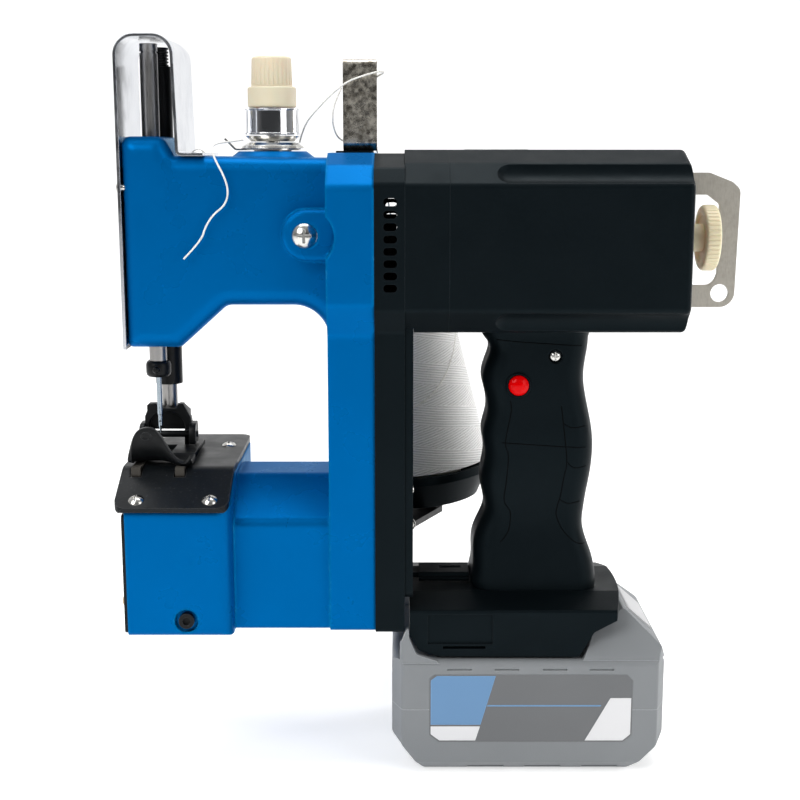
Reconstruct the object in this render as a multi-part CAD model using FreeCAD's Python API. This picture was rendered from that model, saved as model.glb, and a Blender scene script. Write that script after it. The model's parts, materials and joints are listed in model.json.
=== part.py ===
import FreeCAD, Part
import math
import os

# Portable bag closer: a single-thread chain-stitch sewing head driven through a timing belt by a
# battery motor. Millimetres. X runs from the needle end to the handwheel end, Y along the bag's
# feed direction, Z up. The origin is the centre of the battery pack's flat bottom.

V = FreeCAD.Vector

# ---- driving dimensions: casting ----
CAST_LEFT = -171.0
CAST_BASE = 64.0
WALL = 4.0
HEAD_HALF_DEPTH = 25.0
HEAD_TOP = 273.0
HEAD_BOTTOM = 185.0
HEAD_STEP_X = -153.7
TOP_ROUND = 6.5
ARM_TOP = 265.0
ARM_CEILING = 260.5
ARM_BOTTOM = 203.0
ARM_STEP_X = -149.2
COLUMN_LEFT = -85.5
COLUMN_RIGHT = -66.0
COLUMN_TOP = 266.3
BOX_RIGHT = -126.5
BOX_FRONT = -43.0
BOX_BACK = 44.0
BOX_TOP = 130.5
LOWER_ARM_HALF_DEPTH = 33.5
LOWER_ARM_TOP = 128.0

# ---- driving dimensions: motor, belt case, grip and battery ----
MOTOR_Z = 230.0
SHAFT_Z = 96.0
BELT_CASE_RIGHT = -53.5
BELT_COVER_RIGHT = -50.0
RING_RIGHT = -35.4
MOTOR_RIGHT = 63.0
MOTOR_BOTTOM = 193.0
MOTOR_WALL = 4.5
SCOOP_RADIUS = 8.0
SCOOP_START = -10.7
BELT_X = (-63.7, -56.9)
BELT_THICKNESS = 1.4
MOTOR_PULLEY_RADIUS = 8.5
SHAFT_PULLEY_RADIUS = 25.5
GRIP_BASE = 76.2
GRIP_WALL = 2.6
SHOE_BOTTOM = 52.0
SHOE_TOP_EDGE = 72.8
SHOE_END_RADIUS = 155.0
PACK_TOP = 51.0
PACK_LEFT = -59.0
PACK_RIGHT = 60.2
PACK_HALF_DEPTH = 38.0
PACK_SEAM = 29.0
HUMP_TOP = (43.8, 68.8)
HUMP_SLOPE = 41.3
LATCH_HALF_WIDTH = 16.0

# ---- driving dimensions: needle train, presser and thread path ----
NEEDLE_X = -162.0
BAR_RADIUS = 3.8
RUNNING = 0.05
STROKE = 30.0
PIVOT_X = -93.8
PIVOT_Z = 232.8
PIVOT_RADIUS = 4.5
BOSS_RADIUS = 10.5
LEVER_Y = (-16.0, -8.0)
CRANK_THROW = 4.0
CRANK_RADIUS = 11.0
ROD_X = -75.8
PRESSER_X = -160.0
PRESSER_Y = 15.0
PRESSER_BAR_RADIUS = 3.45
PLATE_TOP = 133.3
PLATE_THICKNESS = 2.5
TENSION_X = -110.0
TENSION_PAD_TOP = 266.9
SPOOL_X = -40.0
SPOOL_Y = 78.0
SPOOL_Z = 95.0
SPOOL_LEAN = -7.5
FEED_ROWS = (-168.4, -149.6)
FEED_FRONT = -27.0
THREAD_DIAMETER = 0.8

# half outlines in the YZ plane, from the bottom up: (y, z, corner radius)
MOTOR_HALF = [(34.0, 193.0, 3.0), (44.0, 203.0, 3.0), (44.0, 253.7, 3.0), (34.0, 262.3, 3.0),
              (20.0, 267.6, 4.0)]
COLUMN_HALF = [(36.0, CAST_BASE, 2.0), (36.0, 192.0, 4.0), (44.0, 205.0, 4.0), (44.0, 253.0, 4.0),
               (34.0, 261.5, 4.0), (20.0, COLUMN_TOP, 4.0)]
CASE_HALF = [(37.0, 63.5, 2.0), (37.0, 193.5, 3.0), (44.0, 203.0, 3.0), (44.0, 254.0, 3.0),
             (38.0, 260.5, 3.0), (20.0, 266.0, 4.0)]
COVER_HALF = [(36.0, 78.0, 5.0), (36.0, 250.0, 3.0), (28.0, 258.0, 3.0), (18.0, 261.0, 4.0)]

RISE = math.degrees(math.atan2(STROKE / 2, PIVOT_X - NEEDLE_X))


# ---- helpers ----
def to_point(plane, u, v, w):
    if plane == "xy":
        return V(u, v, w)
    if plane == "xz":
        return V(u, w, v)
    return V(w, u, v)


def unit(du, dv):
    length = math.hypot(du, dv)
    return du / length, dv / length


def corner(before, point, after):
    """Start, middle and end of the arc at one corner of an outline, or the bare corner."""
    u, v = point[:2]
    radius = point[2] if len(point) > 2 else 0.0
    if radius <= 0.0:
        return [(u, v)]
    au, av = unit(before[0] - u, before[1] - v)
    bu, bv = unit(after[0] - u, after[1] - v)
    half = math.acos(max(-1.0, min(1.0, au * bu + av * bv))) / 2
    reach = radius / math.tan(half)
    mu, mv = unit(au + bu, av + bv)
    inset = radius / math.sin(half) - radius
    return [(u + au * reach, v + av * reach), (u + mu * inset, v + mv * inset),
            (u + bu * reach, v + bv * reach)]


def outline(points, plane, level):
    """Closed wire through points (u, v[, corner radius]) on a plane at the given level."""
    count = len(points)
    corners = [corner(points[i - 1], points[i], points[(i + 1) % count]) for i in range(count)]
    edges = []
    for i in range(count):
        here = corners[i]
        following = corners[(i + 1) % count]
        if len(here) == 3:
            edges.append(Part.Arc(*[to_point(plane, u, v, level) for u, v in here]).toShape())
        start = to_point(plane, *here[-1], level)
        end = to_point(plane, *following[0], level)
        if start.distanceToPoint(end) > 1e-6:
            edges.append(Part.LineSegment(start, end).toShape())
    return Part.Wire(edges)


def slab(points, plane, start, end):
    """Outline extruded square to its plane, from start to end."""
    face = Part.Face(outline(points, plane, start))
    return face.extrude(to_point(plane, 0.0, 0.0, end - start))


def strip(path, thickness, plane, start, end):
    """Bent sheet: path is its centre line, (u, v, bend radius), and its width runs start to end."""
    count = len(path)
    left = []
    right = []
    for i in range(count):
        u, v = path[i][:2]
        radius = path[i][2] if len(path[i]) > 2 else 0.0
        before = path[i - 1] if i > 0 else None
        after = path[i + 1] if i < count - 1 else None
        into = unit(u - before[0], v - before[1]) if before else None
        out = unit(after[0] - u, after[1] - v) if after else None
        into = into or out
        out = out or into
        nu, nv = unit(-into[1] - out[1], into[0] + out[0])
        miter = (thickness / 2) / (nu * -into[1] + nv * into[0])
        turn = into[0] * out[1] - into[1] * out[0]
        side = thickness / 2 if turn < 0 else -thickness / 2
        left.append((u + nu * miter, v + nv * miter, radius + side if radius else 0.0))
        right.append((u - nu * miter, v - nv * miter, radius - side if radius else 0.0))
    return slab(left + right[::-1], plane, start, end)


def both_sides(half):
    """Full symmetric outline from its half at positive first coordinate."""
    return half + [(-point[0],) + tuple(point[1:]) for point in reversed(half)]


def inset_half(half, wall):
    """Half outline moved inwards by a wall thickness."""
    full = both_sides(half)
    count = len(full)
    moved = []
    for i in range(len(half)):
        before = full[i - 1]
        here = full[i]
        after = full[(i + 1) % count]
        into = unit(here[0] - before[0], here[1] - before[1])
        out = unit(after[0] - here[0], after[1] - here[1])
        nu, nv = unit(-into[1] - out[1], into[0] + out[0])
        miter = wall / (nu * -into[1] + nv * into[0])
        moved.append((here[0] + nu * miter, here[1] + nv * miter, 1.0))
    return moved


def block(x0, x1, y0, y1, z0, z1):
    return Part.makeBox(x1 - x0, y1 - y0, z1 - z0, V(x0, y0, z0))


def rod(axis, radius, start, end, a, b):
    """Cylinder along x, y or z; a and b are its other two coordinates in x, y, z order."""
    if axis == "x":
        return Part.makeCylinder(radius, end - start, V(start, a, b), V(1, 0, 0))
    if axis == "y":
        return Part.makeCylinder(radius, end - start, V(a, start, b), V(0, 1, 0))
    return Part.makeCylinder(radius, end - start, V(a, b, start), V(0, 0, 1))


def ring(axis, outer, inner, start, end, a, b):
    return rod(axis, outer, start, end, a, b).cut(rod(axis, inner, start - 1, end + 1, a, b))


def fused(shapes):
    return shapes[0].fuse(list(shapes[1:])).removeSplitter()


def group(shapes):
    return Part.makeCompound(list(shapes))


def aim(shape, point, direction):
    """Moves a shape built along +Z so that it starts at point and runs along direction."""
    shape.Placement = FreeCAD.Placement(V(*point), FreeCAD.Rotation(V(0, 0, 1), V(*direction)))
    return shape


def turned(shape, centre, axis, degrees):
    moved = shape.copy()
    moved.rotate(V(*centre), V(*axis), degrees)
    return moved


def dome_screw(point, direction, head_radius, shank_radius, length):
    """Dome head with a cross recess, seated at point, facing direction, with its shank behind."""
    height = 0.5 * head_radius
    sphere_radius = (head_radius ** 2 + height ** 2) / (2 * height)
    head = Part.makeSphere(sphere_radius, V(0, 0, height - sphere_radius))
    head = head.common(Part.makeCylinder(head_radius, height + 1))
    arm = 0.55 * head_radius
    thin = 0.1 * head_radius
    for across, along in ((arm, thin), (thin, arm)):
        slot = Part.makeBox(2 * across, 2 * along, height, V(-across, -along, 0.45 * height))
        head = head.cut(slot)
    screw = head.fuse(Part.makeCylinder(shank_radius, length, V(0, 0, -length)))
    return aim(screw, point, direction)


def drilled(shape, screws):
    """Shape with the shank holes of some screws: (point, direction, head, shank radius, length)."""
    holes = []
    for point, direction, _, shank_radius, length in screws:
        hole = Part.makeCylinder(shank_radius, length + 0.3, V(0, 0, -length - 0.3))
        holes.append(aim(hole, point, direction))
    return shape.cut(holes)


def screws_of(screws):
    return group([dome_screw(*screw) for screw in screws])


def fluted(shape, axis_point, axis, radius, count, flute_radius, start, end):
    """Shape with parallel grooves cut round its rim."""
    cutters = []
    for i in range(count):
        angle = 2 * math.pi * i / count
        a = axis_point[0] + radius * math.cos(angle)
        b = axis_point[1] + radius * math.sin(angle)
        cutters.append(rod(axis, flute_radius, start, end, a, b))
    return shape.cut(cutters)


def superloft(stations, inset, round_corners):
    """Upright body through stations (z, left, right, half depth), drawn in by inset."""
    wires = []
    for z, left, right, half in stations:
        x0 = left + inset
        x1 = right - inset
        y = half - inset
        radius = max(round_corners - inset, 2.0)
        points = [(x0, -y, radius), (x1, -y, radius), (x1, y, radius), (x0, y, radius)]
        wires.append(outline(points, "xy", z))
    return Part.makeLoft(wires, True, False)


# ---- screws: (seat, facing, head radius, shank radius, shank length) ----
PLATE_SCREWS = [((-165.8, -41.9, 123.63), (0, -0.443, 0.896), 3.4, 1.5, 5.0),
                ((-135.0, -41.9, 123.63), (0, -0.443, 0.896), 3.4, 1.5, 5.0),
                ((-134.4, 21.0, PLATE_TOP), (0, 0, 1), 3.4, 1.5, 6.0),
                ((-167.9, 33.0, PLATE_TOP), (0, 0, 1), 3.0, 1.5, 6.0)]
FACE_SCREWS = [((-172.3, -21.0, 252.0), (-1, 0, 0), 2.6, 1.4, 7.0),
               ((-172.3, 21.0, 212.0), (-1, 0, 0), 2.6, 1.4, 7.0),
               ((-142.0, 0.0, 266.3), (0, 0, 1), 3.0, 1.6, 4.0)]
BOX_COVER_SCREW = [((-172.4, -36.0, 78.0), (-1, 0, 0), 3.4, 1.6, 4.0)]
BRACKET_SCREW = [((-72.4, 8.5, 268.6), (0, 0, 1), 3.0, 1.6, 5.5)]
GRIP_SCREWS = [((11.3, -14.3, 180.3), (0, -1, 0), 2.8, 1.4, 12.0),
               ((4.0, 14.3, 98.0), (0, 1, 0), 2.8, 1.4, 12.0),
               ((12.0, 14.3, 128.0), (0, 1, 0), 2.8, 1.4, 12.0)]
BELT_COVER_SCREWS = [((-50.0, 30.0, 110.0), (1, 0, 0), 2.4, 1.3, 4.0),
                     ((-50.0, -30.0, 110.0), (1, 0, 0), 2.4, 1.3, 4.0)]
SPOOL_SCREWS = [((-60.8, 40.0, 106.0), (0, 1, 0), 2.6, 1.5, 4.5),
                ((-60.8, 40.0, 84.0), (0, 1, 0), 2.6, 1.5, 4.5)]


# ---- casting ----
def cast_arm():
    """Head, arm and the web into the column, with their top edges rounded."""
    points = [(CAST_LEFT, HEAD_BOTTOM, 2.0), (-148.5, HEAD_BOTTOM, 3.0), (-128.5, ARM_BOTTOM, 6.0),
              (COLUMN_LEFT, ARM_BOTTOM, 15.0), (COLUMN_LEFT, 180.0), (COLUMN_RIGHT - 4, 180.0),
              (COLUMN_RIGHT - 4, ARM_TOP - 1.0), (ARM_STEP_X, ARM_TOP, 1.0),
              (HEAD_STEP_X, HEAD_TOP, 5.0), (CAST_LEFT, HEAD_TOP, 4.0)]
    arm = slab(points, "xz", -HEAD_HALF_DEPTH, HEAD_HALF_DEPTH)
    top_edges = []
    for edge in arm.Edges:
        middle = edge.CenterOfMass
        on_side = abs(abs(middle.y) - HEAD_HALF_DEPTH) < 0.01
        if on_side and middle.z > ARM_TOP - 3.0 and edge.Length > 1.0:
            top_edges.append(edge)
    return arm.makeFillet(TOP_ROUND, top_edges)


def cast_box():
    half_open = [(BOX_FRONT, CAST_BASE, 3.0), (BOX_FRONT, 118.4, 2.0), (-21.0, BOX_TOP, 4.0),
                 (BOX_BACK, BOX_TOP, 1.0), (BOX_BACK, CAST_BASE, 3.0)]
    box = slab(half_open, "yz", CAST_LEFT, BOX_RIGHT)
    plan = [(CAST_LEFT, BOX_FRONT, 0.5), (BOX_RIGHT, BOX_FRONT, 6.0), (BOX_RIGHT, BOX_BACK, 6.0),
            (CAST_LEFT, BOX_BACK, 0.5)]
    return box.common(slab(plan, "xy", CAST_BASE, BOX_TOP))


def cast_outside():
    lower_half = [(LOWER_ARM_HALF_DEPTH, CAST_BASE, 2.0), (LOWER_ARM_HALF_DEPTH, 112.0, 5.0),
                  (12.0, LOWER_ARM_TOP, 5.0)]
    lower_arm = slab(both_sides(lower_half), "yz", BOX_RIGHT - 5.0, COLUMN_LEFT + 5.0)
    column = slab(both_sides(COLUMN_HALF), "yz", COLUMN_LEFT, COLUMN_RIGHT)
    boss = fused([rod("y", BOSS_RADIUS, -32.0, -HEAD_HALF_DEPTH, PIVOT_X, PIVOT_Z),
                  block(PIVOT_X, COLUMN_LEFT + 1, -32.0, -HEAD_HALF_DEPTH, PIVOT_Z - BOSS_RADIUS,
                        PIVOT_Z + BOSS_RADIUS)])
    rims = [edge for edge in boss.Edges
            if abs(edge.CenterOfMass.y + 32.0) < 0.01 and edge.CenterOfMass.x < COLUMN_LEFT + 0.5]
    boss = boss.makeFillet(1.8, rims)
    tension_pad = Part.makeCone(19.0, 14.5, TENSION_PAD_TOP - ARM_TOP + 1.5, V(TENSION_X, 0, ARM_TOP - 1.5))
    column = column.cut(rod("y", BOSS_RADIUS + 1.3, -50.0, -31.9, PIVOT_X, PIVOT_Z))
    return fused([cast_arm(), column, lower_arm, cast_box(), boss, tension_pad])


def cast_inside():
    """Hollows of the casting: arm tunnel, column well, lower tunnel and looper box."""
    deep = HEAD_HALF_DEPTH - WALL
    arm = slab([(CAST_LEFT - 1, 190.0), (-150.0, 190.0), (-131.0, 207.5), (-82.0, 207.5, 8.0),
                (-82.0, 185.0), (COLUMN_RIGHT + 1, 185.0), (COLUMN_RIGHT + 1, ARM_CEILING),
                (CAST_LEFT - 1, ARM_CEILING)], "xz", -deep, deep)
    well = slab(both_sides(inset_half(COLUMN_HALF, WALL)), "yz", -82.0, COLUMN_RIGHT + 1)
    tunnel = slab([(-29.0, 68.0), (-29.0, 110.0), (-10.0, 124.0), (10.0, 124.0), (29.0, 110.0),
                   (29.0, 68.0)], "yz", -123.0, -88.0)
    box = slab([(-39.0, 68.0), (-39.0, 115.5), (-20.0, 126.0), (40.0, 126.0), (40.0, 68.0)], "yz",
               CAST_LEFT - 1, -129.0)
    mouth = block(CAST_LEFT - 1, -144.0, -30.0, 27.0, 117.0, BOX_TOP + 1)
    return [arm, well, tunnel, box, mouth]


def main_casting():
    casting = cast_outside().cut(cast_inside())
    web = fused([rod("x", 15.0, -88.0, -80.0, 0.0, SHAFT_Z), rod("x", 15.0, -129.0, -123.0, 0.0, SHAFT_Z)])
    screw_boss = rod("z", 4.2, 116.0, BOX_TOP, -134.4, 21.0)
    pivot_posts = [rod("y", 8.0, 18.0, 22.0, PIVOT_X, PIVOT_Z), rod("y", 8.0, -22.0, -18.5, PIVOT_X, PIVOT_Z)]
    casting = fused([casting, web, screw_boss] + pivot_posts)
    cuts = [rod("z", 5.5, 180.0, 280.0, NEEDLE_X, 0.0),
            rod("z", 6.0, 180.0, 195.0, PRESSER_X, PRESSER_Y),
            rod("z", 5.0, 260.0, 280.0, PRESSER_X, PRESSER_Y),
            rod("x", 11.0, -88.5, -79.5, 0.0, SHAFT_Z),
            rod("x", 11.0, -129.5, -122.5, 0.0, SHAFT_Z),
            rod("y", PIVOT_RADIUS, -40.0, 30.0, PIVOT_X, PIVOT_Z),
            rod("z", 3.0, 258.0, 270.0, TENSION_X, 0.0),
            rod("y", 4.1, 19.0, 30.0, -147.0, 221.0),
            rod("y", 4.0, -42.0, -34.0, -146.0, 98.0),
            rod("y", 4.0, 34.0, 44.5, -146.0, 98.0),
            rod("y", 5.0, -44.0, -40.5, -146.0, 71.0),
            rod("y", 1.8, -42.0, -34.0, -146.0, 71.0)]
    casting = casting.cut(cuts)
    return drilled(casting, PLATE_SCREWS + FACE_SCREWS + BRACKET_SCREW + BOX_COVER_SCREW)


def face_plate():
    """One bent sheet: it covers the open end of the head and guards the bars above it."""
    path = [(-171.65, 184.5), (-171.65, 313.35, 8.0), (-148.6, 313.35, 8.0), (-147.3, 265.65, 1.6),
            (-136.6, 265.65)]
    plate = strip(path, 1.3, "xz", -24.3, 24.3)
    return drilled(plate, FACE_SCREWS)


def box_side_cover():
    cover = slab([(-42.0, 65.0, 2.0), (43.0, 65.0, 2.0), (43.0, 119.0, 2.0), (-42.0, 117.0, 2.0)],
                 "yz", -172.4, CAST_LEFT)
    return drilled(cover, BOX_COVER_SCREW)


def needle_plate():
    """Plate bent down at the front, with a needle hole and two feed slots."""
    middle = PLATE_TOP - PLATE_THICKNESS / 2
    plate = strip([(46.0, middle), (-22.0, middle, 9.0), (-46.0, 120.2)], PLATE_THICKNESS, "yz",
                  -174.8, -127.0)
    plan = [(-174.8, -46.5, 5.0), (-127.0, -46.5, 5.0), (-127.0, 46.0, 5.0), (-174.8, 46.0, 5.0)]
    plate = plate.common(slab(plan, "xy", 110.0, 140.0))
    cuts = [rod("z", 2.0, 120.0, 140.0, NEEDLE_X, 0.0)]
    for x in FEED_ROWS:
        cuts.append(block(x - 2.5, x + 2.5, FEED_FRONT - 1.5, 11.0, 120.0, 140.0))
    return drilled(plate.cut(cuts), PLATE_SCREWS)


def base_cap_screw():
    head = rod("y", 3.3, -43.2, -40.5, -146.0, 71.0)
    socket = rod("y", 1.7, -44.0, -41.7, -146.0, 71.0)
    return fused([head.cut(socket), rod("y", 1.8, -40.5, -34.5, -146.0, 71.0)])


def lever_pivot_pin():
    pin = rod("y", PIVOT_RADIUS, -32.0, 23.0, PIVOT_X, PIVOT_Z)
    head = dome_screw((PIVOT_X - 1.0, -32.0, PIVOT_Z), (0, -1, 0), 5.2, 2.0, 1.0)
    return fused([pin, head])


# ---- needle train ----
def bush(outer, inner, start, end, x, y):
    return ring("z", outer, inner, start, end, x, y)


def needle_bar():
    bar = rod("z", BAR_RADIUS, 169.3, 311.6, NEEDLE_X, 0.0)
    groove = ring("z", BAR_RADIUS + 1, BAR_RADIUS - 0.5, 307.6, 308.4, NEEDLE_X, 0.0)
    socket = rod("z", 1.15, 160.0, 176.0, NEEDLE_X, 0.0)
    return bar.cut([groove, socket])


def needle_clamp():
    collar = ring("z", 5.5, BAR_RADIUS, 169.3, 176.3, NEEDLE_X, 0.0)
    screw = rod("y", 1.6, -7.2, -5.0, NEEDLE_X, 172.8)
    return fused([collar, screw])


def needle():
    shank = rod("z", 1.15, 152.0, 176.0, NEEDLE_X, 0.0)
    blade = rod("z", 0.9, 147.0, 152.0, NEEDLE_X, 0.0)
    point = Part.makeCone(0.1, 0.9, 3.5, V(NEEDLE_X, 0, 143.5))
    eye = rod("y", 0.35, -2.0, 2.0, NEEDLE_X, 149.0)
    return fused([shank, blade, point]).cut(eye)


def needle_bar_block():
    level = PIVOT_Z + STROKE / 2
    body = ring("z", 7.0, BAR_RADIUS, level - 7.0, level + 7.0, NEEDLE_X, 0.0)
    pin = rod("y", 3.0, LEVER_Y[0] - 1.0, -5.5, NEEDLE_X, level)
    return fused([body, pin])


def rocker_lever():
    """Lever from the needle bar to the crank rod, with a slot at each end, raised to top centre."""
    left = NEEDLE_X - 8.0
    right = ROD_X + 7.0
    points = [(left, PIVOT_Z - 6.5, 5.0), (PIVOT_X - 9, PIVOT_Z - 8.5, 8.0), (PIVOT_X + 9, PIVOT_Z - 8.5, 8.0),
              (right, PIVOT_Z - 5.5, 4.0), (right, PIVOT_Z + 5.5, 4.0), (PIVOT_X + 9, PIVOT_Z + 8.5, 8.0),
              (PIVOT_X - 9, PIVOT_Z + 8.5, 8.0), (left, PIVOT_Z + 6.5, 5.0)]
    lever = slab(points, "xz", LEVER_Y[0], LEVER_Y[1])
    hub = rod("y", 9.5, -18.0, 17.5, PIVOT_X, PIVOT_Z)
    lever = fused([lever, hub])
    needle_slot = block(NEEDLE_X - 5.2, NEEDLE_X + 5.0, -20.0, 0.0, PIVOT_Z - 3.2, PIVOT_Z + 3.2)
    crank_slot = block(ROD_X - 3.6, ROD_X + 3.6, -20.0, 0.0, PIVOT_Z - 2.7, PIVOT_Z + 2.7)
    bore = rod("y", PIVOT_RADIUS + RUNNING, -20.0, 20.0, PIVOT_X, PIVOT_Z)
    lever = lever.cut([needle_slot, crank_slot, bore])
    return turned(lever, (PIVOT_X, 0, PIVOT_Z), (0, 1, 0), RISE)


def crank_rod():
    """Rod from the rocker lever down to a fork that stands over the crank on the main shaft."""
    drop = (ROD_X - PIVOT_X) * math.tan(math.radians(RISE))
    top = PIVOT_Z - drop
    fork_top = SHAFT_Z + CRANK_RADIUS + CRANK_THROW + 0.6
    bar = slab([(ROD_X - 3.5, fork_top), (ROD_X + 3.5, fork_top), (ROD_X + 3.5, top + 5.0, 3.0),
                (ROD_X - 3.5, top + 5.0, 3.0)], "xz", -7.0, -2.0)
    head = block(ROD_X - 3.5, ROD_X + 3.5, -19.0, 19.0, fork_top, fork_top + 6.0)
    legs = [block(ROD_X - 3.5, ROD_X + 3.5, side - 1.8, side + 1.8, SHAFT_Z - 6.0, fork_top + 1.0)
            for side in (-17.2, 17.2)]
    return fused([bar, head] + legs).cut(rod("y", 2.5, -8.0, 0.0, ROD_X, top))


def crank_rod_pin():
    drop = (ROD_X - PIVOT_X) * math.tan(math.radians(RISE))
    return rod("y", 2.5, LEVER_Y[0] + 0.5, -2.0, ROD_X, PIVOT_Z - drop)


def shaft_crank():
    disc = rod("x", CRANK_RADIUS, ROD_X - 3.4, ROD_X + 3.4, 0.0, SHAFT_Z - CRANK_THROW)
    hub = rod("x", 8.0, ROD_X - 4.4, ROD_X - 3.4, 0.0, SHAFT_Z)
    return fused([disc, hub]).cut(rod("x", 5.0, -90.0, -60.0, 0.0, SHAFT_Z))


def toothed_wheel(radius, teeth, start, end, z, bore):
    wheel = rod("x", radius, start, end, 0.0, z)
    wheel = fluted(wheel, (0.0, z), "x", radius, teeth, 0.9, start - 1, end + 1)
    return wheel.cut(rod("x", bore, start - 1, end + 1, 0.0, z))


def timing_belt():
    """Closed loop round both pulleys, standing clear of their teeth."""
    clear = 0.3
    loops = []
    for extra in (clear + BELT_THICKNESS, clear):
        top = MOTOR_PULLEY_RADIUS + extra
        low = SHAFT_PULLEY_RADIUS + extra
        lean = math.asin((low - top) / (MOTOR_Z - SHAFT_Z))
        straight = []
        for z, radius in ((SHAFT_Z, low), (MOTOR_Z, top)):
            straight.append((radius * math.cos(lean), z + radius * math.sin(lean)))
        web = slab(both_sides(straight), "yz", BELT_X[0], BELT_X[1])
        ends = [rod("x", low, BELT_X[0], BELT_X[1], 0.0, SHAFT_Z),
                rod("x", top, BELT_X[0], BELT_X[1], 0.0, MOTOR_Z)]
        loops.append(fused([web] + ends))
    return loops[0].cut(loops[1])


def bearing(start, end, z, bore):
    return ring("x", 11.0, bore + RUNNING, start, end, 0.0, z)


# ---- looper and feed ----


def looper_shaft():
    return rod("y", 4.0 - RUNNING, -41.0, 42.0, -146.0, 98.0)


def looper():
    """Hook that rises from its rocking shaft and passes just in front of the needle."""
    hub = rod("y", 7.0, -8.0, 4.0, -146.0, 98.0)
    stem = slab([(-148.5, 100.0), (-143.5, 100.0), (-145.0, 121.5, 3.0), (-165.5, 122.5),
                 (-158.0, 118.6, 4.0), (-149.0, 117.0, 3.0)], "xz", -4.2, -1.7)
    return fused([hub, stem]).cut(rod("y", 4.0 - RUNNING, -10.0, 6.0, -146.0, 98.0))


def feed_dog():
    """Two toothed rows on a cross bar that carries them clear of the needle."""
    rows = []
    for x in FEED_ROWS:
        row = fused([block(x - 2.0, x + 2.0, FEED_FRONT, 3.0, 125.5, 134.1),
                     block(x - 2.0, x + 2.0, FEED_FRONT, 9.5, 125.5, 129.5)])
        teeth = []
        for i in range(11):
            y = FEED_FRONT + 1.5 + 2.6 * i
            teeth.append(slab([(y - 0.9, 134.6), (y + 0.9, 134.6), (y, 133.0)], "yz", x - 3, x + 3))
        rows.append(row.cut(teeth))
    cross = block(FEED_ROWS[0] - 2.0, FEED_ROWS[1] + 2.0, 5.5, 9.5, 117.0, 129.5)
    return fused(rows + [cross])


def feed_bar():
    arm = block(-160.0, -154.0, 5.5, 9.5, 106.0, 117.0)
    foot = block(-160.0, -154.0, 5.5, 30.0, 103.0, 108.0)
    return fused([arm, foot])


# ---- presser ----
def presser_bar():
    return rod("z", PRESSER_BAR_RADIUS, 143.0, 286.0, PRESSER_X, PRESSER_Y)


def presser_sleeve():
    """Black sleeve above the head that holds the presser spring."""
    tube = ring("z", 5.0, 4.0, 262.0, 303.0, PRESSER_X, PRESSER_Y)
    return tube


def presser_screw():
    head = rod("z", 3.9, 299.0, 311.0, PRESSER_X, PRESSER_Y)
    grooves = [ring("z", 6.0, 3.3, 303.8 + 1.4 * i, 304.5 + 1.4 * i, PRESSER_X, PRESSER_Y) for i in range(5)]
    return head.cut(grooves)


def coil(radius, wire_radius, start, end, turns, x, y):
    pitch = (end - start - 2 * wire_radius) / turns
    helix = Part.makeHelix(pitch, pitch * turns, radius)
    circle = Part.makeCircle(wire_radius, V(radius, 0, 0), V(0, 1, 0))
    spring = Part.Wire(helix.Edges).makePipeShell([Part.Wire([circle])], True, True)
    spring.translate(V(x, y, start + wire_radius))
    return spring


def presser_collar():
    return ring("z", 5.4, PRESSER_BAR_RADIUS, 217.6, 224.6, PRESSER_X, PRESSER_Y)


def lifter_lever():
    """Thumb lever behind the head; its forked inner finger lies just under the presser collar."""
    pin = rod("y", 4.1 - RUNNING, 9.7, 27.5, -147.0, 221.0)
    finger = slab([(-147.0, 217.0), (-158.5, 211.8, 2.0), (-163.5, 213.0, 2.0), (-161.0, 216.8, 2.0),
                   (-153.8, 216.8, 1.0), (-149.5, 223.5)], "xz", 9.7, 20.6)
    finger = finger.cut(block(-170.0, -153.0, 11.1, 18.9, 205.0, 235.0))
    handle = slab([(-151.5, 226.0, 4.0), (-151.5, 215.5, 4.0), (-112.0, 210.0, 4.0),
                   (-108.0, 215.5, 3.0), (-109.0, 219.5, 3.0)], "xz", 27.5, 31.5)
    tab = slab([(-117.0, 210.8, 1.0), (-107.0, 209.4, 1.0), (-106.0, 213.0, 1.0), (-116.0, 214.4, 1.0)],
               "xz", 27.5, 42.0)
    return fused([pin, finger, handle, tab])


def presser_shank():
    """Clamp on the presser bar with two arms that carry the foot's hinge pin."""
    body = block(-167.0, -153.0, 8.0, 22.0, 143.0, 152.0)
    bridge = block(-172.0, -144.3, 9.0, 15.0, 145.0, 150.0)
    arms = []
    for x in (-172.0, -146.6):
        arms.append(slab([(3.5, 138.0, 2.0), (14.0, 138.0, 2.0), (15.0, 152.0, 2.0), (8.0, 152.0, 4.0)],
                         "yz", x, x + 2.3))
    shank = fused([body, bridge] + arms)
    return shank.cut([rod("z", PRESSER_BAR_RADIUS, 140.0, 160.0, PRESSER_X, PRESSER_Y),
                      rod("x", 1.5, -175.0, -140.0, 8.0, 141.5),
                      rod("z", 6.6, 130.0, 160.0, NEEDLE_X, 0.0)])


def foot_hinge_pin():
    return rod("x", 1.5, -172.3, -144.0, 8.0, 141.5)


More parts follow.
